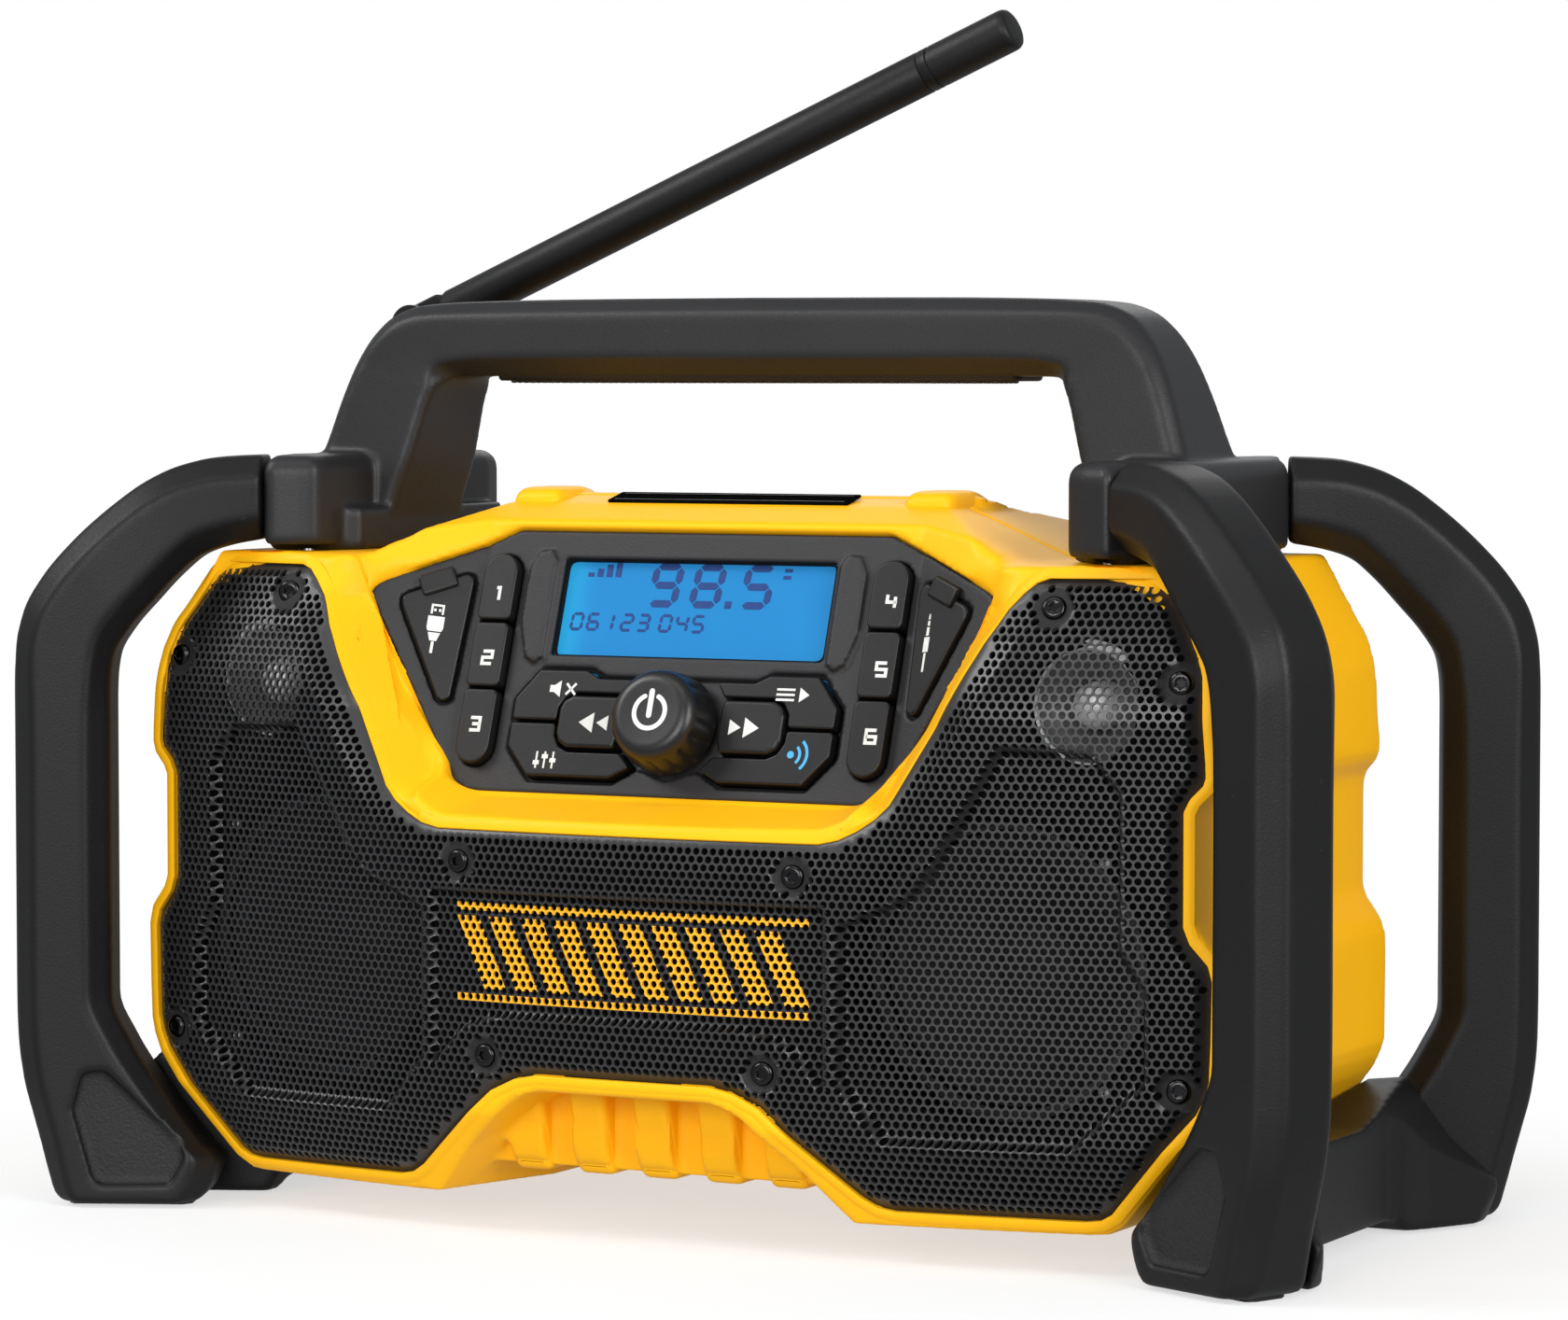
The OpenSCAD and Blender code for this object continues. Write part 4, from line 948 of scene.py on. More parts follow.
class StageOperator(PieceOperator):
    """Floor, soft lamps, pale surroundings and the camera"""

    bl_idname = "radio.stage"
    bl_label = "Stage"

    def build(self):
        scene = bpy.context.scene
        scene.view_settings.view_transform = "Standard"
        self.camera(scene)
        self.surroundings(scene)
        self.floor()
        for name, spot, aim, wide, high, power in (
            ("key_softbox", (-2.2, -1.5, 2.3), (0, 0, 0.12), 1.3, 1.2, 50),
            ("front_softbox", (0.5, -3.0, 0.9), (0, 0, 0.12), 1.6, 1.0, 46),
            ("side_softbox", (2.3, -1.1, 1.0), (0.1, 0, 0.12), 1.0, 1.4, 42),
            ("top_softbox", (0.1, -1.1, 2.6), (0, 0, 0.2), 1.8, 1.2, 12),
            ("back_softbox", (-0.9, 2.2, 1.4), (0, 0, 0.15), 1.4, 1.0, 7),
        ):
            lamp = bpy.data.lights.new(name, "AREA")
            lamp.shape, lamp.size, lamp.size_y, lamp.energy = "RECTANGLE", wide, high, power
            obj = bpy.data.objects.new(name, lamp)
            scene.collection.objects.link(obj)
            obj.location = spot
            heading = np.array(aim, float) - np.array(spot)
            obj.rotation_euler = look_along(heading)

    def camera(self, scene):
        lens = bpy.data.cameras.new("camera")
        lens.sensor_width, lens.lens = 36.0, 125.68
        lens.clip_start, lens.clip_end = 0.05, 60.0
        obj = bpy.data.objects.new("camera", lens)
        scene.collection.objects.link(obj)
        obj.location = (0.7179, -1.3834, 0.2405)
        obj.rotation_euler = (math.radians(90 - 3.0646), 0, math.radians(27.3))
        scene.camera = obj

    def surroundings(self, scene):
        world = bpy.data.worlds.new("surroundings")
        scene.world = world
        world.use_nodes = True
        tree = world.node_tree
        tree.nodes.clear()
        rays = tree.nodes.new("ShaderNodeLightPath")
        seen = tree.nodes.new("ShaderNodeBackground")
        seen.inputs[0].default_value, seen.inputs[1].default_value = (1, 1, 1, 1), 1.0
        light = tree.nodes.new("ShaderNodeBackground")
        light.inputs[0].default_value, light.inputs[1].default_value = (0.95, 0.97, 1.0, 1), 0.42
        mix, out = tree.nodes.new("ShaderNodeMixShader"), tree.nodes.new("ShaderNodeOutputWorld")
        tree.links.new(rays.outputs["Is Camera Ray"], mix.inputs[0])
        tree.links.new(light.outputs[0], mix.inputs[1])
        tree.links.new(seen.outputs[0], mix.inputs[2])
        tree.links.new(mix.outputs[0], out.inputs[0])

    def floor(self):
        f = Finish("pale_floor", Base_Color=(0.92, 0.92, 0.92), Roughness=0.9, Specular_IOR_Level=0.1)
        spot, _ = f.place()
        away = f.node("VectorMath", {"operation": "LENGTH"}, {0: spot}, out=1)
        clear = f.tree.nodes.new("ShaderNodeBsdfTransparent")
        blend = f.tree.nodes.new("ShaderNodeMixShader")
        f.put(blend.inputs[0], away.ramp(0.18, 0.36) * 0.38 + 0.62)
        f.tree.links.new(f.shader.outputs[0], blend.inputs[1])
        f.tree.links.new(clear.outputs[0], blend.inputs[2])
        f.tree.links.new(blend.outputs[0], f.output.inputs[0])
        radius, corners = 1.2, 64
        rim = [(radius * math.cos(a), radius * math.sin(a), -0.0002)
               for a in np.linspace(0, 2 * math.pi, corners, endpoint=False)]
        mesh = bpy.data.meshes.new("floor")
        mesh.from_pydata(rim, [], [tuple(range(corners))])
        mesh.materials.append(f.material)
        obj = bpy.data.objects.new("floor", mesh)
        bpy.context.scene.collection.objects.link(obj)


def look_along(direction):
    return Vector(direction).to_track_quat("-Z", "Y").to_euler()


class HousingOperator(PieceOperator):
    """The two yellow shells, with the black baffle behind the grille"""

    bl_idname = "radio.housings"
    bl_label = "Body shells"

    def build(self):
        s = sizes()
        for node, shape, hidden in (("front_housing", self.set_front, self.behind_grille),
                                    ("rear_housing", self.shorten_rails, self.in_battery_bay)):
            mesh = softened(cad_copy(node), s.shell_voxel, s.shell_passes)
            shape(mesh)
            piece(node + "_shell", mesh, [shell_finish(), baffle_finish()], "radio", [node], 60)
            paint_faces(mesh, 1, hidden(face_middles(mesh)))
        self.lip()
        self.ribs()

    def behind_grille(self, middles):
        """The faces of the baffle behind the sheet."""
        x, y, z = middles.T
        deep = y > front_face(x, z) + 1.6
        return inside(np.column_stack([x, z]), grille_outline()) & deep & (y < -50)

    def in_battery_bay(self, middles):
        x, y, z = middles.T
        return (np.abs(x) < 39.9) & (y > 32) & (y < 68) & (z > 97) & (z < 184)

    def set_front(self, mesh):
        """Move the front skin back to the moulded face, and slope the band beside the panel."""
        x, y, z = vertices_of(mesh).T
        head = [(0, 127), (66, 127), (95, 176), (95, 250), (0, 250)]
        outside = 1 - inside(np.column_stack([np.abs(x), z]), head)
        y = y + set_back(x, z) * smooth((-60 - y) / 7) * outside
        # the baffle lies deeper than the solids' seat, to clear the pressed fields
        covered = signed_distance(np.column_stack([x, z]), grille_outline())
        skin_depth = y - front_face(x, z)
        y = y + 2.6 * smooth((covered - 1.4) / 0.8) * (skin_depth > 1.2) * (skin_depth < 9) * (y < -50)
        near = smooth((np.abs(x) - 67) / 5) * smooth((z - 118) / 8) * (y > -95) * (y < -52)
        slope = inside(np.column_stack([np.abs(x), z]), BESIDE_PANEL)
        y = y + near * slope * np.maximum(0, beside_panel(x, z) - y)
        shoulder = smooth((np.abs(x) - 86) / 5) * smooth((z - 176) / 5) * smooth((126 - np.abs(x)) / 4) * (y < -40)
        place_vertices(mesh, eased(mesh, np.column_stack([x, y, z]), shoulder, 24))

    def ribs(self):
        """The five grip ribs under the arch, as rounded blocks that lean back towards the ground."""

        def place(p):
            back = RIB_LEAN * np.clip((RIB_BEND - p[..., 1]) / RIB_RUN, 0, 1)
            return np.stack([p[..., 0], back - p[..., 2], p[..., 1]], -1)

        for k in range(-2, 3):
            left, right = RIB_PITCH * k - RIB_HALF, RIB_PITCH * k + RIB_HALF
            corners = [(left, RIB_LOW), (right, RIB_LOW), (right, RIB_HIGH), (left, RIB_HIGH)]
            rib = block(rounded(corners, [2.6, 2.6, 0, 0], 5), RIB_BACK, RIB_FRONT, 2.2, 5, place=place)
            built(f"grip_rib_{k + 3}", [rib], shell_finish(), "radio", (), 50)

    def shorten_rails(self, mesh):
        """Narrow the two rails on the top, and let them run out soon behind their noses."""
        x, y, z = vertices_of(mesh).T
        top = np.minimum(TOP_Z, TOP_Z - 0.2 * (y + 8)) - 0.4
        over = (np.abs(np.abs(x) - RAIL_X) < 13) & (z > top) & (y > -14.5)
        z = np.where(over, top + (z - top) * (1 - smooth((y + 8) / 12)), z)
        x = np.where(over, np.sign(x) * (RAIL_X + (np.abs(x) - RAIL_X) * 0.68), x)
        place_vertices(mesh, np.column_stack([x, y, z]))
        self.rail_noses()

    def rail_noses(self):
        """The front ends of the two rails, rounded down onto the front shell."""
        for side, label in ((-1, "left"), (1, "right")):
            middle = side * RAIL_X
            left, right = middle - NOSE_HALF, middle + NOSE_HALF
            corners = [(left, RAIL_BASE), (right, RAIL_BASE), (right, RAIL_TOP), (left, RAIL_TOP)]
            section = rounded(corners, [0, 0, 4.2, 4.2], 6)
            rings = []
            for y, k in ((-12, 1.0), (-20, 1.0), (-23, 0.97), (-25.2, 0.90), (-26.6, 0.78), (-27.2, 0.62)):
                wide = middle + (section[:, 0] - middle) * (0.5 + 0.5 * k)
                high = RAIL_BASE + (section[:, 1] - RAIL_BASE) * k
                rings.append(np.column_stack([wide, np.full(len(section), y), high]))
            built(label + "_rail_nose", [skin(rings)], shell_finish(), "radio", (), 50)

    def lip(self):
        """Crisp yellow edge of the seat that the grille lies in."""
        line = divided(rounded(anticlockwise(grille_outline()), 1.2, 3), 1.5)
        section = ((0.75, 2.6), (0.7, 0.4), (0.55, 0.0), (0.25, -0.2), (-1.4, -0.2), (-2.3, 0.25), (-1.4, 2.6))
        rings = []
        for depth, back in section:
            edge = inset(line, depth)
            x, z = edge.T
            slope = inside(np.column_stack([np.abs(x), z]), BESIDE_PANEL) & (depth < 0)
            y = np.where(slope, np.maximum(beside_panel(x, z), front_face(x, z)), front_face(x, z))
            rings.append(np.column_stack([x, y + back, z]))
        points, faces = skin(rings + rings[:1], capped=False)
        built("grille_seat_edge", [(points, faces)], shell_finish(), "radio", (), 40)


def grille_outline():
    """The whole outline of the grille, with the notch for the panel at its top."""
    right = list(GRILLE_OUT)
    left = [(-x, z) for x, z in reversed(right)]
    notch = [(-x, z) for x, z in reversed(GRILLE_IN)] + list(GRILLE_IN)
    return right + left + notch


class GrilleOperator(PieceOperator):
    """The perforated sheet: one cell repeated by nodes, pressed into its fields"""

    bl_idname = "radio.grille"
    bl_label = "Grille"

    def relief(self, spots):
        """Height of the sheet in front of the body's face, in millimetres."""
        s = sizes()
        folded = np.column_stack([np.abs(spots[:, 0]), spots[:, 1]])
        height = np.full(len(spots), 1.4)
        field = signed_distance(folded, SPEAKER_FIELD)
        height -= s.field_depth / MM * smooth((field + 1.2) / 2.6)
        mark = signed_distance(spots, MARK_FIELD)
        height -= s.mark_depth / MM * smooth((mark + 0.7) / 1.7)
        # the margin beside the panel falls away from a crease
        inner = edge_distance(folded, [(0, 113.9)] + GRILLE_IN, closed=False)
        height -= 1.4 * np.clip(1 - inner / 9.0, 0, 1)
        # small pads under the screws
        for x, z in GRILLE_SCREWS:
            beyond = smooth((np.linalg.norm(folded - (x, z), axis=1) - 4.3) / 1.6)
            height = height * beyond + (height.clip(-9, 0.9) - 0.9) * (1 - beyond)
        outer = edge_distance(folded, GRILLE_OUT + [(0, 46)], closed=False)
        roll = smooth(outer / 5.0)
        height = -2.0 * (1 - roll) + height * roll
        rim = np.minimum(outer, inner)
        return np.where(rim < 0.9, np.minimum(height, -1.2), height)

    def cells(self, centres):
        s = sizes()
        tree = NodeMesh("perforation", Pitch=("Float", s.hole_pitch / MM), Hole=("Float", s.hole_size / MM),
                        Finish=("Material", grille_finish()))
        reach = tree.node("ShaderNodeMath", {"operation": "DIVIDE"}, {0: tree.given("Pitch"), 1: math.sqrt(3)})
        web = tree.node("GeometryNodeCurvePrimitiveCircle", {"mode": "RADIUS"}, {"Resolution": 6, "Radius": reach})
        web = tree.node("GeometryNodeTransform", None, {"Geometry": web, "Rotation": (0, 0, math.radians(30))})
        half = tree.node("ShaderNodeMath", {"operation": "MULTIPLY"}, {0: tree.given("Hole"), 1: 0.5})
        hole = tree.node("GeometryNodeCurvePrimitiveCircle", {"mode": "RADIUS"}, {"Resolution": 12, "Radius": half})
        join = tree.tree.nodes.new("GeometryNodeJoinGeometry")
        for part in (web, hole):
            tree.tree.links.new(part, join.inputs[0])
        cell = tree.node("GeometryNodeFillCurve", {"mode": "TRIANGLES"}, {"Curve": join.outputs[0]})
        copies = tree.node("GeometryNodeInstanceOnPoints", None, {"Points": tree.given("Geometry"), "Instance": cell})
        flat = np.column_stack([centres, np.zeros(len(centres))])
        return tree.make(copies, points_mesh("perforation", flat))

    def build(self):
        pitch = sizes().hole_pitch / MM
        outline = np.array(anticlockwise(grille_outline()))
        rows = np.arange(int(12 / (pitch * math.sqrt(3) / 2)), int(190 / (pitch * math.sqrt(3) / 2)) + 1)
        centres = []
        for row in rows:
            z = row * pitch * math.sqrt(3) / 2
            shift = pitch / 2 if row % 2 else 0.0
            centres += [(k * pitch + shift, z) for k in range(-70, 71)]
        centres = np.array(centres)
        room = signed_distance(centres, outline)
        folded = np.column_stack([np.abs(centres[:, 0]), centres[:, 1]])
        far = np.min([np.linalg.norm(folded - q, axis=1) for q in GRILLE_SCREWS], axis=0)
        centres = centres[(room > pitch / math.sqrt(3) + 1.3) & (far > 3.9 + pitch / 2)]
        across = centres[:, 0]
        groups = [centres[across < -PIECE_EDGE], centres[np.abs(across) <= PIECE_EDGE], centres[across > PIECE_EDGE]]
        border = self.border(outline, centres, pitch)
        names = ("grille_left", "grille_middle", "grille_right")
        for i, (name, group) in enumerate(zip(names, groups)):
            mesh = self.cells(group)
            flat = np.array([v.co[:2] for v in mesh.vertices])
            faces = [tuple(p.vertices) for p in mesh.polygons]
            edge = [f for f in border[1] if (-1, 0, 1)[i] == self.zone(border[0][list(f)].mean(0))]
            points, faces = gather([(flat, faces), (border[0], edge)])
            obj = self.sheet(name, points, faces)
            if i == 1:
                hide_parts("front_grille")

    def zone(self, middle):
        return -1 if middle[0] < -PIECE_EDGE else (1 if middle[0] > PIECE_EDGE else 0)

    def border(self, outline, centres, pitch):
        """Triangles between the kept cells and the sheet's edge."""
        reach = pitch / math.sqrt(3)
        turns = [math.radians(30 + 60 * k) for k in range(6)]
        corner = np.array([(reach * math.cos(a), reach * math.sin(a)) for a in turns])

        def key(p):
            return int(round(p[0] * 200)), int(round(p[1] * 200))

        seen, where = {}, {}
        for c in centres:
            ring = c + corner
            for a, b in zip(ring, np.roll(ring, -1, 0)):
                ka, kb = key(a), key(b)
                where[ka], where[kb] = a, b
                seen.setdefault((min(ka, kb), max(ka, kb)), 0)
                seen[(min(ka, kb), max(ka, kb))] += 1
        points, index, edges = [], {}, []
        for (ka, kb), count in seen.items():
            if count == 1:
                for k in (ka, kb):
                    if k not in index:
                        index[k] = len(points)
                        points.append(where[k])
                edges.append((index[ka], index[kb]))

        def loop(ring):
            start = len(points)
            points.extend(ring)
            edges.extend((start + i, start + (i + 1) % len(ring)) for i in range(len(ring)))

        loop(divided(outline, 2.0))
        loop(divided(inset(outline, 1.0), 2.0))
        for side in (1, -1):
            for x, z in GRILLE_SCREWS:
                for r in (1.4, 2.8, 3.9):
                    turns = np.linspace(0, 2 * math.pi, 14, endpoint=False)
                    loop([(side * x + r * math.cos(a), z + r * math.sin(a)) for a in turns])
        verts, _, faces, *_ = delaunay_2d_cdt([tuple(map(float, p)) for p in points], edges, [], 0, 1e-4)
        verts = np.array([tuple(v) for v in verts])
        middles = np.array([verts[list(f)].mean(0) for f in faces])
        row_step = pitch * math.sqrt(3) / 2
        held = set((int(round(c[0] / pitch * 2)), int(round(c[1] / row_step))) for c in centres)

        def in_cell(m):
            best, found = 1e9, None
            base = int(round(m[1] / row_step))
            for row in (base - 1, base, base + 1):
                shift = pitch / 2 if row % 2 else 0.0
                k = round((m[0] - shift) / pitch)
                c = (k * pitch + shift, row * row_step)
                d = (c[0] - m[0]) ** 2 + (c[1] - m[1]) ** 2
                if d < best:
                    best, found = d, (int(round(c[0] / pitch * 2)), row)
            return found in held

        keep = inside(middles, outline)
        return verts, [tuple(f) for f, m, k in zip(faces, middles, keep) if k and not in_cell(m)]

    def sheet(self, name, flat, faces):
        """Weld the flat triangles, press them into shape and give them thickness."""
        flat_keys = np.round(flat * 200).astype(np.int64)
        _, first, back = np.unique(flat_keys, axis=0, return_index=True, return_inverse=True)
        back = back.ravel()
        flat = flat[first]
        welded = []
        for f in faces:
            g = [int(back[i]) for i in f]
            if len(set(g)) == 3:
                a, b, c = (flat[i] for i in g)
                turn = (b[0] - a[0]) * (c[1] - a[1]) - (b[1] - a[1]) * (c[0] - a[0])
                if abs(turn) > 1e-7:
                    welded.append(tuple(g) if turn > 0 else tuple(g[::-1]))
        height = self.relief(flat)
        x, z = flat[:, 0], flat[:, 1]
        # the sheet's outward direction, from the relief's own slope
        step = 0.25

        def front(px, pz):
            return front_face(px, pz) - self.relief(np.column_stack([px, pz]))

        sx = (front(x + step, z) - front(x - step, z)) / (2 * step)
        sz = (front(x, z + step) - front(x, z - step)) / (2 * step)
        normal = np.column_stack([sx, -np.ones(len(x)), sz])
        normal /= np.linalg.norm(normal, axis=1, keepdims=True)
        outer = np.column_stack([x, front_face(x, z) - height, z])
        inner = outer - normal * sizes().sheet / MM
        n = len(outer)
        count = {}
        for f in welded:
            for a, b in zip(f, f[1:] + f[:1]):
                count[(a, b)] = True
        sides = [(b, a, a + n, b + n) for a, b in count if (b, a) not in count]
        every = welded + [tuple(i + n for i in reversed(f)) for f in welded] + sides
        mesh = to_mesh(name, np.concatenate([outer, inner]), every, outward=False)
        return piece(name, mesh, grille_finish(), "radio", (), 48)


class ScrewOperator(PieceOperator):
    """Screws of the grille and of the back, repeated by nodes"""

    bl_idname = "radio.screws"
    bl_label = "Screws"

    def head(self, radius, height, depth, bite):
        """A pan head with a six-lobed socket."""
        profile = [(0, 0), (radius, 0), (radius, height * 0.45), (radius - 0.12 * radius, height * 0.82),
                   (radius * 0.72, height), (bite + 0.25, height)]
        outer = lathe(profile[1:], 36)

        def lobes(a, r, h):
            return r * (1 + 0.12 * math.cos(6 * a)) if r < bite + 0.1 else r

        floor = height - depth
        socket = lathe([(bite + 0.25, height), (bite, height - 0.12), (bite, floor), (0, floor)], 36, swell=lobes)
        base = lathe([(0, 0), (radius, 0)], 36)
        return [outer, socket, base]

    def build(self):
        black = metal_finish("screw_black", (0.034, 0.034, 0.035), 0.22, 0.0008)
        places, turns = [], []
        k = 0
        for side in (1, -1):
            for x, z in GRILLE_SCREWS:
                k += 1
                lean = 0.39 if z > 170 else 0.0
                places.append((side * x, float(front_face(x, z)) + 0.35, z))
                turns.append((math.radians(90) - lean, math.radians(17 * k), math.asin(side * x / FRONT_R)))
        mesh = scattered("grille_screw", self.head(3.3, 1.5, 0.9, 1.35), places, turns, black)
        turn_outward(mesh, 1e-6)
        piece("grille_screw_heads", mesh, black, "radio", ["grille_screws"])
        spots = [(s * x, 40.2, z) for x, z in BACK_SCREWS for s in (1, -1)]
        turns = [(math.radians(-90), 0, 0)] * len(spots)
        mesh = scattered("back_screw", self.head(3.4, 2.2, 1.5, 1.5), spots, turns, black)
        turn_outward(mesh, 1e-6)
        piece("back_screw_heads", mesh, black, "radio", ["housing_screws"])


class SpeakerOperator(PieceOperator):
    """What shows through the grille: tweeter horns and domes, woofer cones"""

    bl_idname = "radio.speakers"
    bl_label = "Speakers"

    def build(self):
        silver = metal_finish("tweeter_silver", (1.0, 1.0, 0.98), 0.42, 0.002, 0.35)
        for side, label in ((-1, "left"), (1, "right")):
            def place(p, side=side):
                return np.stack([side * TWEETER[0] + p[..., 0], -p[..., 2], TWEETER[1] + p[..., 1]], -1)

            horn = lathe([(6.6, 52), (7.2, 54.6), (9, 57.4), (12, 60.4), (14.6, 63.2), (14.8, 63.6), (14.8, 60.6),
                          (6.6, 52)], 64, place)
            ring = lathe([(14.9, 60.6), (14.9, 64.0), (15.6, 64.8), (17.3, 64.8), (17.9, 64.2), (17.9, 60.6),
                          (14.9, 60.6)], 64, place)
            dome = lathe([(6.4, 52), (6.4, 58), (6, 60.6), (5, 62.4), (3.2, 63.6), (1.4, 64), (0, 64.1)], 48, place)
            grey = metal_finish("horn_grey", (0.16, 0.16, 0.16), 0.4, 0.002, 0.4)
            built(label + "_tweeter_horn", [horn], grey, "radio", [label + "_tweeter_frame"])
            built(label + "_tweeter_ring", [ring], silver, "radio")
            built(label + "_tweeter_cap", [dome], silver, "radio", [label + "_tweeter_dome"])
        wear_finish(cone_finish(), "left_woofer_cone", "right_woofer_cone")
        wear_finish(metal_finish("basket_steel", (0.09, 0.09, 0.09), 0.4), "left_woofer_frame", "right_woofer_frame")
        wear_finish(metal_finish("magnet_grey", (0.2, 0.2, 0.21), 0.45), "left_woofer_magnet", "right_woofer_magnet")


def wear_finish(material, *nodes):
    """A CAD node that keeps its shape gets this finish."""
    for node in nodes:
        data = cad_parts[node].data
        data.materials.clear()
        data.materials.append(material)


class PanelOperator(PieceOperator):
    """The control panel with its wings, ridges, pad recess and key wells"""

    bl_idname = "radio.panel"
    bl_label = "Control panel"

    def build(self):
        mesh = softened(cad_copy("control_panel"), sizes().panel_voxel, 2, 170000)
        piece("control_panel_face", mesh, panel_finish(), "radio", ["control_panel"], 60)


class DisplayOperator(PieceOperator):
    """The lit display, its figures and the clear window over it"""

    bl_idname = "radio.display"
    bl_label = "Display"

    SEGMENTS = {"0": "abcdef", "1": "bc", "2": "abged", "3": "abgcd", "4": "fgbc", "5": "afgcd", "6": "afgedc",
                "7": "abc", "8": "abcdefg", "9": "abcdfg"}

    def digit(self, figure, x, y, wide, high, thick, z, slant=0.10):
        """Seven-segment figure as bevelled bars."""
        h, t = high / 2, thick
        ends = {"a": ((0, high), (wide, high)), "g": ((0, h), (wide, h)), "d": ((0, 0), (wide, 0)),
                "f": ((0, h), (0, high)), "b": ((wide, h), (wide, high)),
                "e": ((0, 0), (0, h)), "c": ((wide, 0), (wide, h))}
        bars = []
        for name in self.SEGMENTS[figure]:
            (x0, y0), (x1, y1) = ends[name]
            along = np.array([x1 - x0, y1 - y0], float)
            length = np.linalg.norm(along)
            along /= length
            across = np.array([-along[1], along[0]]) * t / 2
            a, b = np.array([x0, y0]) + along * t * 0.15, np.array([x1, y1]) - along * t * 0.15
            tips = along * t / 2
            shape = [a, a + tips - across, b - tips - across, b, b - tips + across, a + tips + across]
            shape = [(x + q[0] + slant * q[1], y + q[1]) for q in shape]
            bars.append(self.ink(shape, z))
        return bars

    def ink(self, shape, z):
        return plaque(shape, z, z + 0.12, on_panel)

    def build(self):
        glass = block(rounded([(-46, 1.4), (46, 1.4), (46, 34.4), (-46, 34.4)], 1.0), -13, -3.25, 0.3, place=on_panel)
        built("lcd_face", [glass], display_finish(), "radio", ["lcd_module"])
        window = rounded([(-42.5, 4), (42.5, 4), (42.5, 32), (-42.5, 32)], 2.5)
        window = block(window, -2.9, -1.6, 0.25, place=on_panel)
        built("display_window", [window], lens_finish(), "radio", ["display_lens"])
        z = -3.22
        marks = []
        for figure, x in zip("985", (-15.6, -2.2, 13.4)):
            marks += self.digit(figure, x, 20.2, 7.6, 10.8, 2.1, z)
        marks.append(self.ink([(8.2, 19.2), (10.3, 19.2), (10.4, 21.3), (8.3, 21.3)], z))
        for figure, x in zip("06123045", (-39.4, -34.2, -29.6, -23.4, -18.2, -11.2, -6.0, -0.9)):
            marks += self.digit(figure, x, 12.3, 3.2, 4.5, 0.85, z)
        for x, y in ((25.2, 28.0), (25.4, 30.0)):
            marks.append(self.ink([(x, y), (x + 2.4, y), (x + 2.5, y + 1.0), (x + 0.1, y + 1.0)], z))
        for k in range(4):  # strength bars
            x, top = -36.4 + 2.9 * k, 28.9 + 1.2 * k
            marks.append(self.ink([(x, 27.7), (x + 1.9, 27.7), (x + 1.9, top), (x, top)], z))
        dark = print_finish("display_segments", tuple(colours().segments))
        built("display_figures", marks, dark, "radio")
        # seal round the window
        frame_line = rounded([(-42.6, 3.9), (42.6, 3.9), (42.6, 32.1), (-42.6, 32.1)], 2.6)
        seal = band(frame_line, 0.5, -3.1, -0.9, on_panel, closed=True)
        built("display_seal", [seal], baffle_finish(), "radio")


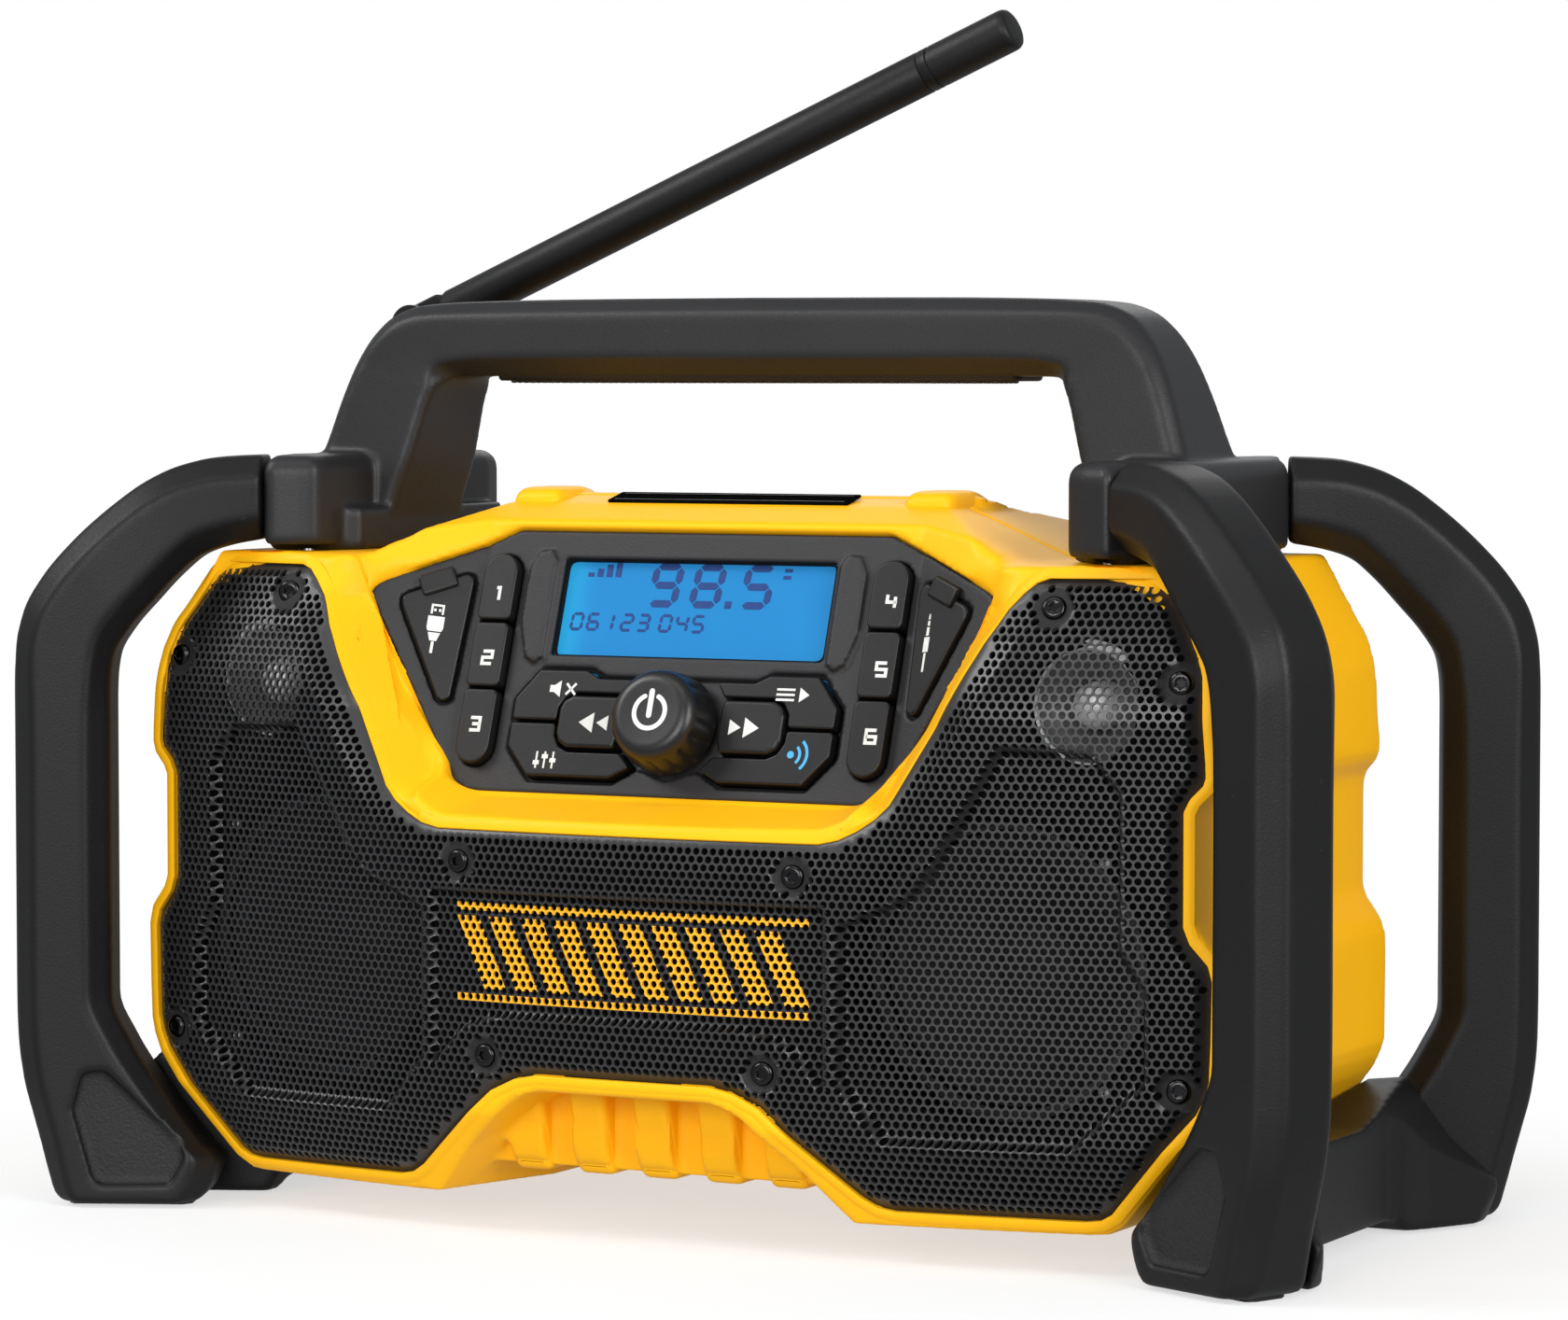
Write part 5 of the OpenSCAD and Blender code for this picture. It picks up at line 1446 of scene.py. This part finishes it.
class KeyOperator(PieceOperator):
    """Six preset keys, four mode keys and two skip keys, with their print"""

    bl_idname = "radio.keys"
    bl_label = "Keys"

    FIGURES = {
        "1": [[(0.28, 0.98), (0.62, 1.0), (0.62, 0.0)]],
        "2": [[(0, 1), (1, 1), (1, 0.5), (0, 0.5), (0, 0), (1, 0)]],
        "3": [[(0, 1), (1, 1), (1, 0), (0, 0)], [(0.22, 0.5), (1, 0.5)]],
        "4": [[(0, 1), (0, 0.42), (1, 0.42)], [(0.8, 0.85), (0.8, 0)]],
        "5": [[(1, 1), (0, 1), (0, 0.5), (1, 0.5), (1, 0), (0, 0)]],
        "6": [[(1, 1), (0, 1), (0, 0), (1, 0), (1, 0.5), (0, 0.5)]],
    }

    def figure(self, name, x, y, z):
        """A squared numeral centred at x, y."""
        rows = []
        for line in self.FIGURES[name]:
            p = [(x + (u - 0.5) * 3.0, y + (v - 0.5) * 3.6) for u, v in line]
            rows.append(band(p, 0.95, z, z + 0.1, on_panel))
        return rows

    def preset_outline(self, x, row):
        w = 5.3
        low, high = ((12.9, 32.3), (-6.6, 12.0), (-29.0, -7.5))[row]
        top = arc(x, high - w, w, 0, 180, 14) if row == 0 else rounded_corner_pair(x, high, w, True)
        bottom = arc(x, low + w, w, 180, 360, 14) if row == 2 else rounded_corner_pair(x, low, w, False)
        return top + bottom

    def build(self):
        edge = sizes().key_edge / MM
        white = print_finish("print_pale", tuple(colours().printing))
        spots = ((-60.8, 20.3), (-60.9, 1.6), (-61.3, -17.8), (62.8, 20.6), (62.6, 1.3), (62.5, -17.6))
        for n, spot in enumerate(spots, 1):
            outline = self.preset_outline(-61.3 if n < 4 else 61.3, (n - 1) % 3)
            node = f"preset_{n}"
            key = block(outline, KEY_FOOT, 3.0, edge, place=on_panel)
            built(node + "_key", [key], key_finish(), node + "_body", [node])
            built(node + "_figure", self.figure(str(n), *spot, 2.97), white, node + "_body")
        for side, label in ((1, "left"), (-1, "right")):
            for outline, where in ((UPPER_KEY, "upper"), (LOWER_KEY, "lower")):
                node = f"{where}_{label}_key"
                shape = rounded(anticlockwise([(side * x, y) for x, y in outline]), 1.1)
                cap = block(shape, KEY_FOOT, 2.0, edge, place=on_panel)
                built(node + "_cap", [cap], key_finish(), node + "_body", [node])
            node = "skip_back_key" if side == 1 else "skip_forward_key"
            shape = rounded(anticlockwise([(side * x, y) for x, y in SKIP_KEY]), 1.2)
            cap = block(shape, KEY_FOOT, 3.0, edge * 1.7, 4, place=on_panel)
            built(node + "_cap", [cap], key_finish(), node + "_body", [node])
            arrows = ([(-28.2, -16.3), (-23.6, -13.4), (-23.6, -19.2)],
                      [(-22.6, -16.3), (-19.0, -14.1), (-19.0, -18.5)])
            tips = [plaque([(side * x, y) for x, y in tip], 2.97, 3.07, on_panel) for tip in arrows]
            built(node + "_arrows", tips, white, node + "_body")
        self.symbols(white)

    def symbols(self, white):
        """The drawn symbols on the four mode keys."""
        z = 1.97

        def flat(outline):
            return plaque(outline, z, z + 0.1, on_panel)

        def line(points, width):
            return band(points, width, z, z + 0.1, on_panel)

        # quiet: a small loudspeaker crossed out
        horn = flat([(-39.6, -7.6), (-38.2, -7.6), (-36.2, -9.0), (-36.2, -4.2), (-38.2, -5.6), (-39.6, -5.6)])
        cross = [line([(-34.4, -8.2), (-31.4, -5.0)], 0.7), line([(-34.4, -5.0), (-31.4, -8.2)], 0.7)]
        built("quiet_symbol", [horn] + cross, white, "upper_left_key_body")
        # tone: three sliders
        rows = []
        for k, lift in enumerate((-0.9, 0.9, -0.2)):
            x, low, high = -40.3 + 2.6 * k, -27.7 + lift, -26.5 + lift
            rows.append(line([(x, -29.6), (x, -24.8)], 0.55))
            rows.append(plaque([(x - 0.95, low), (x + 0.95, low), (x + 0.95, high), (x - 0.95, high)],
                               z + 0.02, z + 0.13, on_panel))
        built("tone_symbol", rows, white, "lower_left_key_body")
        # source: three stacked bars with an arrow
        rows = [line([(31.5, -4.9 - 1.45 * k), (37.1, -4.9 - 1.45 * k)], 0.65) for k in range(3)]
        rows.append(flat([(38.6, -8.4), (38.6, -4.2), (41.6, -6.3)]))
        built("source_symbol", rows, white, "upper_right_key_body")
        # wireless: a dot and two waves
        blue = print_finish("print_blue", tuple(colours().wave))
        rows = [line(arc(38.4, -23.2, r, -48, 48), 0.85) for r in (3.0, 5.2)]
        rows.append(flat(arc(38.6, -23.2, 1.05, 0, 345, 15)))
        built("wireless_symbol", rows, blue, "lower_right_key_body")


def rounded_corner_pair(x, y, w, top):
    """Two softly rounded corners of a key's square end."""
    r = 1.7
    if top:
        return arc(x + w - r, y - r, r, 0, 90, 4) + arc(x - w + r, y - r, r, 90, 180, 4)
    return arc(x - w + r, y + r, r, 180, 270, 4) + arc(x + w - r, y + r, r, 270, 360, 4)


class KnobOperator(PieceOperator):
    """The volume knob with its finger grips and power symbol"""

    bl_idname = "radio.knob"
    bl_label = "Volume knob"

    def build(self):
        count = sizes().knob_lumps

        def swell(a, r, h):
            wave = abs(math.sin(count * a / 2)) ** 0.8
            share = smooth((h - 1.9) / 1.4) * (1 - smooth((h - 9.6) / 2.6))
            return r - 0.75 * float(share) * (1 - wave) if r > 9 else r

        def place(p):
            return on_panel(p + np.array([0, KNOB_Y, 0]))

        profile = [(3.2, 1.8), (13.9, 1.8), (14.35, 2.1), (14.4, 2.7), (14.3, 4.5), (14.05, 6.5), (13.7, 8.5),
                   (13.4, 10), (13.1, 11.2), (12.8, 12.1), (12.3, 13.0), (11.6, 13.8), (10.8, 14.3),
                   (9.9, 14.55), (9.2, 14.62), (8.6, 14.6), (6, 14.5), (3, 14.45), (0, 14.45)]
        cap = lathe(profile, 192, place, swell)
        under = lathe([(3.2, 1.8), (3.2, 12.0), (0, 12.0)], 48, place)
        built("knob_cap", [cap, under], knob_finish(), "knob", ["volume_knob"], 50)
        white = print_finish("print_pale", tuple(colours().printing))
        cx, cy, r, low, high = 0.1, KNOB_Y + 0.35, 4.75, 14.5, 14.66
        ring = band(arc(cx, cy, r, 116, 424, 40), 1.35, low, high, on_panel)
        ends = [plaque(arc(cx + r * math.cos(a), cy + r * math.sin(a), 0.67, 0, 340, 12), low, high - 0.005, on_panel)
                for a in np.radians([116, 64])]
        bar = arc(0, KNOB_Y + 6.1, 0.82, 0, 180, 8) + arc(0, KNOB_Y - 0.7, 0.82, 180, 360, 8)
        bar = plaque(bar, low, high, on_panel)
        built("power_symbol", [ring, bar] + ends, white, "knob")
        wear_finish(metal_finish("shaft_steel", (0.55, 0.55, 0.54), 0.3), "encoder_shaft", "encoder_body")


class FlapOperator(PieceOperator):
    """The two flaps over the sockets, with lift tabs and plug symbols"""

    bl_idname = "radio.flaps"
    bl_label = "Flaps"

    def build(self):
        white = print_finish("print_pale", tuple(colours().printing))
        turn = math.radians(-25)
        c, s = math.cos(turn), math.sin(turn)
        tab = [(11.5 + u * c - v * s, 21.4 + u * s + v * c)
               for u, v in ((-5.3, -1.6), (5.3, -1.6), (5.3, 4.6), (-5.3, 4.6))]
        for side, door, body, symbol in ((-1, "usb_door", "usb_flap", self.usb_plug),
                                         (1, "aux_door", "aux_flap", self.audio_plug)):
            place = on_wing(side)
            plate = block(rounded(anticlockwise(FLAP), 1.6), -1.85, 1.35, 0.8, place=place)
            lift = block(rounded(tab, 1.2), 0.4, 2.6, 0.8, place=place)
            built(door + "_cover", [plate, lift], key_finish(), body, [door])
            z = 1.33
            solids, lines = symbol()
            shapes = [plaque(outline, z, z + 0.1, place) for outline in solids]
            shapes += [band(line, width, z, z + 0.1, place) for line, width in lines]
            built(door + "_symbol", shapes, white, body)

    def usb_plug(self):
        """Outlines and lines of a plug with a flat tip."""
        pins = [[(x - 0.35, 14.0), (x + 0.35, 14.0), (x + 0.35, 14.8), (x - 0.35, 14.8)] for x in (10.3, 11.7)]
        shell = [(9.0, 8.2), (13.0, 8.2), (13.4, 9.2), (13.4, 12.6), (8.6, 12.6), (8.6, 9.2)]
        neck = [(10.0, 5.4), (12.0, 5.4), (12.8, 7.8), (9.2, 7.8)]
        tip = [(9.4, 13.2), (9.4, 15.8), (12.6, 15.8), (12.6, 13.2)]
        return [shell, neck] + pins, [(tip, 0.6), ([(11.0, 5.2), (11.0, 1.8)], 0.8)]

    def audio_plug(self):
        """Outlines and lines of a plug with a round pin."""
        rings = [[(7.0, 6.2), (9.0, 6.2), (9.0, 10.4), (7.0, 10.4)],
                 [(7.5, 10.8), (8.5, 10.8), (8.5, 13.2), (7.5, 13.2)],
                 [(7.6, 13.6), (8.4, 13.6), (8.4, 15.0), (7.6, 15.0)],
                 [(7.65, 15.4), (8.35, 15.4), (8.2, 16.9), (7.8, 16.9)]]
        return rings, [([(8.0, 5.9), (8.0, 0.6)], 0.75)]


def station_values(rows, per_gap):
    """Points between the rows' values on a smooth curve that doesn't overshoot."""
    rows = np.asarray(rows, float)
    n = len(rows)
    gap = np.maximum(np.linalg.norm(np.diff(rows[:, :4], axis=0), axis=1), 1e-6)
    slope = np.diff(rows, axis=0) / gap[:, None]
    tangent = np.zeros_like(rows)
    tangent[0], tangent[-1] = slope[0], slope[-1]
    for i in range(1, n - 1):
        a, b = slope[i - 1], slope[i]
        w1, w2 = 2 * gap[i] + gap[i - 1], gap[i] + 2 * gap[i - 1]
        same = a * b > 0
        safe_a, safe_b = np.where(same, a, 1.0), np.where(same, b, 1.0)
        tangent[i] = np.where(same, (w1 + w2) / (w1 / safe_a + w2 / safe_b), 0.0)
    out = []
    for i in range(n - 1):
        for k in range(per_gap):
            t = k / per_gap
            h00, h10 = 2 * t ** 3 - 3 * t ** 2 + 1, t ** 3 - 2 * t ** 2 + t
            h01, h11 = -2 * t ** 3 + 3 * t ** 2, t ** 3 - t ** 2
            out.append(h00 * rows[i] + h10 * gap[i] * tangent[i] + h01 * rows[i + 1] + h11 * gap[i] * tangent[i + 1])
    out.append(rows[-1])
    return np.array(out)


class LegOperator(PieceOperator):
    """Four cage legs with stippled pockets in their feet, and the foot pads"""

    bl_idname = "radio.legs"
    bl_label = "Legs"

    def rings(self):
        rows = [(o[0], o[1], i[0], i[1], n) for o, i, n in LEG_STATIONS]
        values = station_values(rows, 5)
        rings = []
        for k, (ox, oz, ix, iz, shift) in enumerate(values):
            last = len(values) - 1 - k
            thick = 14.25 - (1.5 if last == 0 else 0.0)
            c = 6.4 if last > 15 else 6.4 - 1.5 * (1 - last / 15)
            o, i = np.array([ox, oz]), np.array([ix, iz])
            length = np.linalg.norm(i - o)
            w = (i - o) / length
            corners = [(c, thick), (length - c, thick), (length, thick - c), (length, c - thick),
                       (length - c, -thick), (c, -thick), (0, c - thick), (0, thick - c)]
            shape = rounded(corners, 3.2, 3)
            rings.append(np.column_stack([o[0] + w[0] * shape[:, 0], shift + shape[:, 1], o[1] + w[1] * shape[:, 0]]))
        return rings

    def build(self):
        points, faces = skin(self.rings())
        leg = bpy.data.objects.new("leg_blank", to_mesh("leg_blank", points, faces))
        pocket_line = rounded(anticlockwise(FOOT_POCKET), 1.8)
        pocket_points, pocket_faces = block(pocket_line, -1.0, 3.0, 0.2, lower_edge=1.4)
        cutter_points = np.column_stack([pocket_points[:, 0], 12.7 + pocket_points[:, 2], pocket_points[:, 1]])
        cutter = bpy.data.objects.new("pocket", to_mesh("pocket", cutter_points, pocket_faces))
        for obj in (leg, cutter):
            bpy.context.scene.collection.objects.link(obj)
        cut = leg.modifiers.new("cut", "BOOLEAN")
        cut.operation, cut.solver, cut.object = "DIFFERENCE", "EXACT", cutter
        blank = evaluated(leg)
        for obj in (leg, cutter):
            bpy.data.objects.remove(obj)
        blank = softened(blank, 0.0009, 3, 90000)
        s, n, z = vertices_of(blank).T
        out, aside, up = face_middles(blank).T
        pocket = inside(np.column_stack([out, up]), FOOT_POCKET) & (aside > 10.8) & (aside < 12.9)
        for label, sx, sy in (("rear_right", 1, 1), ("front_right", 1, -1),
                              ("rear_left", -1, 1), ("front_left", -1, -1)):
            mesh = blank.copy()
            x = LEG_X + s * math.cos(SPLAY) - n * math.sin(SPLAY)
            y = LEG_Y + s * math.sin(SPLAY) + n * math.cos(SPLAY)
            place_vertices(mesh, np.column_stack([sx * x, sy * y, z]))
            if sx * sy < 0:
                mesh.flip_normals()
            paint_faces(mesh, 1, pocket)
            node = label + "_leg"
            piece(node + "_bow", mesh, [cage_finish(), stipple_finish()], "radio", [node], 50)
        wear_finish(stipple_finish(), "foot_pads")


class RailOperator(PieceOperator):
    """The two lower rails between the feet"""

    bl_idname = "radio.rails"
    bl_label = "Lower rails"

    def build(self):
        for side in ("left", "right"):
            node = side + "_lower_rail"
            mesh = softened(cad_copy(node), 0.0011, 8, 60000)
            piece(node + "_bar", mesh, cage_finish(), "radio", [node], 60)


class HandleOperator(PieceOperator):
    """The handle with its collars, and the nubbed grip under the bar"""

    bl_idname = "radio.handle"
    bl_label = "Handle"

    def rings(self):
        rows = [(o[0], o[1], i[0], i[1]) for o, i in HANDLE_STATIONS]
        half = station_values(rows, 4)
        whole = np.concatenate([half, (half * np.array([-1, 1, -1, 1]))[-2::-1]])
        rings = []

        def depth(height):
            return np.interp(height, [190, 214, 243, 260], [21.5, 20.5, 16.6, 15.4])

        for ox, oz, ix, iz in whole:
            o, i = np.array([ox, oz]), np.array([ix, iz])
            length = np.linalg.norm(i - o)
            w = (i - o) / length
            bar = float(smooth((oz - 238) / 20))
            cut, draw, top = 2.0 + 3.6 * bar, 1.6 + 5.4 * bar, 3.6 + 1.2 * bar
            yo, yi = float(depth(oz)), float(depth(iz + cut))
            corners = [(0, yo - top), (top * 0.85, yo), (length - cut, yi), (length, yi - draw),
                       (length, draw - yi), (length - cut, -yi), (top * 0.85, -yo), (0, top - yo)]
            shape = rounded(corners, [3.0, 3.6, 1.6, 1.6, 1.6, 1.6, 3.6, 3.0], 4)
            across, y = shape.T
            rings.append(np.column_stack([o[0] + w[0] * across, y + HANDLE_SHIFT, o[1] + w[1] * across]))
        return rings

    def build(self):
        parts = [skin(self.rings())]
        for side in (1, -1):
            collar = rounded(anticlockwise([(side * x, y) for x, y in COLLAR]), [2, 4, 4, 6, 4, 3, 3, 2, 7, 7], 4)
            parts.append(block(collar, 189.8, 215.4, 5.2, 6, lower_edge=1.6))
            seat = [(112, 40), (134, 56), (136, 40), (136, -40), (134, -56), (112, -40)]
            seat = rounded(anticlockwise([(side * x, y) for x, y in seat]), 2)
            parts.append(block(seat, 188.05, 200, 0.5))
        points, faces = gather(parts)
        mesh = softened(to_mesh("handle", points, faces), 0.001, 4, 150000)
        piece("handle_and_collars", mesh, handle_finish(), "radio", ["handle_frame"], 60)
        self.grip()
        wear_finish(cage_finish(), "antenna_base")
        wear_finish(metal_finish("shaft_steel", (0.55, 0.55, 0.54), 0.3), "antenna_pin", "frame_screws")

    def grip(self):
        """A soft insert under the bar with rows of nubs, repeated by nodes."""
        s = sizes()
        ends = [(-9.7, 240.2), (-10.0, 238.4), (-8.6, 236.5), (8.6, 236.5), (10.0, 238.4), (9.7, 240.2)]
        ends = rounded(ends, 1.0, 3)
        rings = [np.column_stack([np.full(len(ends), x), ends[:, 0] * k + HANDLE_SHIFT, 239 + (ends[:, 1] - 239) * k])
                 for x, k in ((-83, 0.7), (-82.6, 0.9), (-81.6, 1.0), (81.6, 1.0), (82.6, 0.9), (83, 0.7))]
        finish = finish_for("grip_rubber", moulded(tint(colours().cage, 0.8), 0.6, 0.0005, 0.00006, 0.2))
        built("grip_insert", [skin(rings)], finish, "radio", ["handle_grip"])
        step = s.grip_pitch / MM
        places = []
        for i in range(int(156 / step) + 1):
            for j in range(5):
                places.append((-78 + i * step, HANDLE_SHIFT - 6.4 + 3.2 * j + (0.8 if i % 2 else -0.8), 236.55))
        nub = lathe([(0, 0), (1.05, 0), (1.0, 0.35), (0.7, 0.62), (0, 0.72)], 8)
        mesh = scattered("grip_nub", [nub], places, [(math.pi, 0, 0)] * len(places), finish)
        piece("grip_nubs", mesh, finish, "radio")


class AntennaOperator(PieceOperator):
    """The folding antenna rod and its cap"""

    bl_idname = "radio.antenna"
    bl_label = "Antenna"

    def build(self):
        c, s = math.cos(RISE), math.sin(RISE)

        def place(p):
            # the rod's axis runs along x of this frame
            u, v, w = p[..., 2], p[..., 0], p[..., 1]
            return np.stack([PIVOT[0] + u * c - v * s, PIVOT[1] + w, PIVOT[2] + u * s + v * c], -1)

        r = 6.25
        rod = lathe([(0, 9), (4.6, 9), (5.2, 9.4), (r - 0.3, 12.0), (r, 12.8), (r, 60), (r, 120), (r, 182.4),
                     (r - 0.25, 182.9), (0, 182.9)], 64, place)
        blade = rounded([(-6.1, 11.5), (-6.1, 0), (-4.3, -4.3), (0, -6.1), (4.3, -4.3), (6.1, 0), (6.1, 11.5)], 2.2, 4)
        blade = block(blade, -3.75, 3.75, 0.6, 3, lower_edge=0.6)
        points = blade[0]
        blade = (place(np.column_stack([points[:, 0], points[:, 2], points[:, 1]])), blade[1])
        built("antenna_stick", [rod, blade], cage_finish(), "antenna", ["antenna_rod"], 42)
        cap = lathe([(0, 183.1), (r - 0.2, 183.1), (r, 183.5), (r, 186.0), (r - 0.45, 186.25), (r - 0.45, 186.85),
                     (r, 187.1), (r, 210.6), (r - 0.15, 211.6), (r - 0.6, 212.4), (r - 1.3, 212.8),
                     (r - 2.2, 212.95), (0, 213)], 64, place)
        built("antenna_end", [cap], cage_finish(), "antenna", ["antenna_cap"], 42)


class TrimOperator(PieceOperator):
    """The strip on the brow, and finishes of the parts inside"""

    bl_idname = "radio.trim"
    bl_label = "Trim and inner parts"

    def build(self):
        tilt = math.radians(13.5)

        def place(p):
            x, y, z = p[..., 0], p[..., 1], p[..., 2]
            c, s = math.cos(tilt), math.sin(tilt)
            return np.stack([x, -28 + y * c - z * s, TOP_Z - 2.4 + y * s + z * c], -1)

        shape = rounded([(-38.0, 0.2), (38.0, 0.2), (38.0, 9.4), (-38.0, 9.4)], 0.5)
        black = finish_for("strip_black", moulded((0.003, 0.003, 0.003), 0.6, 0.0008, 0.00001, 0.1, specular=0.0))
        strip = block(shape, 0.02, 0.75, 0.12, 2, place=place)
        built("brow_strip", [strip], black, "radio", ["top_strip"])
        lines = [band([(-36.4, y), (36.4, y)], 0.28, 0.73, 0.78, place) for y in (1.7, 7.9)]
        built("brow_lines", lines, print_finish("print_grey", (0.10, 0.10, 0.10)), "radio")
        rubber = finish_for("membrane_rubber", moulded((0.02, 0.02, 0.021), 0.65, 0.0008, 0.00008, 0.2))
        steel = metal_finish("shaft_steel", (0.55, 0.55, 0.54), 0.3)
        wear_finish(rubber, "key_membrane", "battery_terminals", "dc_jack", "aux_jack")
        wear_finish(board_finish(), "main_board", "panel_board")
        wear_finish(steel, "usb_socket", "speaker_screws", "board_screws")
        white = finish_for("plunger_white", moulded((0.6, 0.6, 0.58), 0.4, 0.0008, 0.00002))
        wear_finish(white, "encoder_plunger")


class RadioPanel(bpy.types.Panel):
    """Lists the operators and settings in the 3D view's sidebar"""

    bl_idname = "VIEW3D_PT_radio"
    bl_label = "Jobsite radio"
    bl_space_type = "VIEW_3D"
    bl_region_type = "UI"
    bl_category = "Radio"

    def draw(self, context):
        for operator in OPERATORS:
            self.layout.operator(operator.bl_idname)
        for group in (context.scene.radio_sizes, context.scene.radio_colours):
            for name in group.bl_rna.properties.keys():
                if name not in ("rna_type", "name"):
                    self.layout.prop(group, name)


OPERATORS = (StageOperator, HousingOperator, GrilleOperator, ScrewOperator, SpeakerOperator, PanelOperator,
             DisplayOperator, KeyOperator, KnobOperator, FlapOperator, LegOperator, RailOperator,
             HandleOperator, AntennaOperator, TrimOperator)
CLASSES = (RadioSizes, RadioColours) + OPERATORS + (RadioPanel,)


def register():
    for cls in CLASSES:
        bpy.utils.register_class(cls)
    bpy.types.Scene.radio_sizes = PointerProperty(type=RadioSizes)
    bpy.types.Scene.radio_colours = PointerProperty(type=RadioColours)


def unregister():
    del bpy.types.Scene.radio_sizes, bpy.types.Scene.radio_colours
    for cls in reversed(CLASSES):
        bpy.utils.unregister_class(cls)


def main():
    register()
    for operator in OPERATORS:
        group, name = operator.bl_idname.split(".")
        getattr(getattr(bpy.ops, group), name)()


if __name__ == "__main__":
    main()
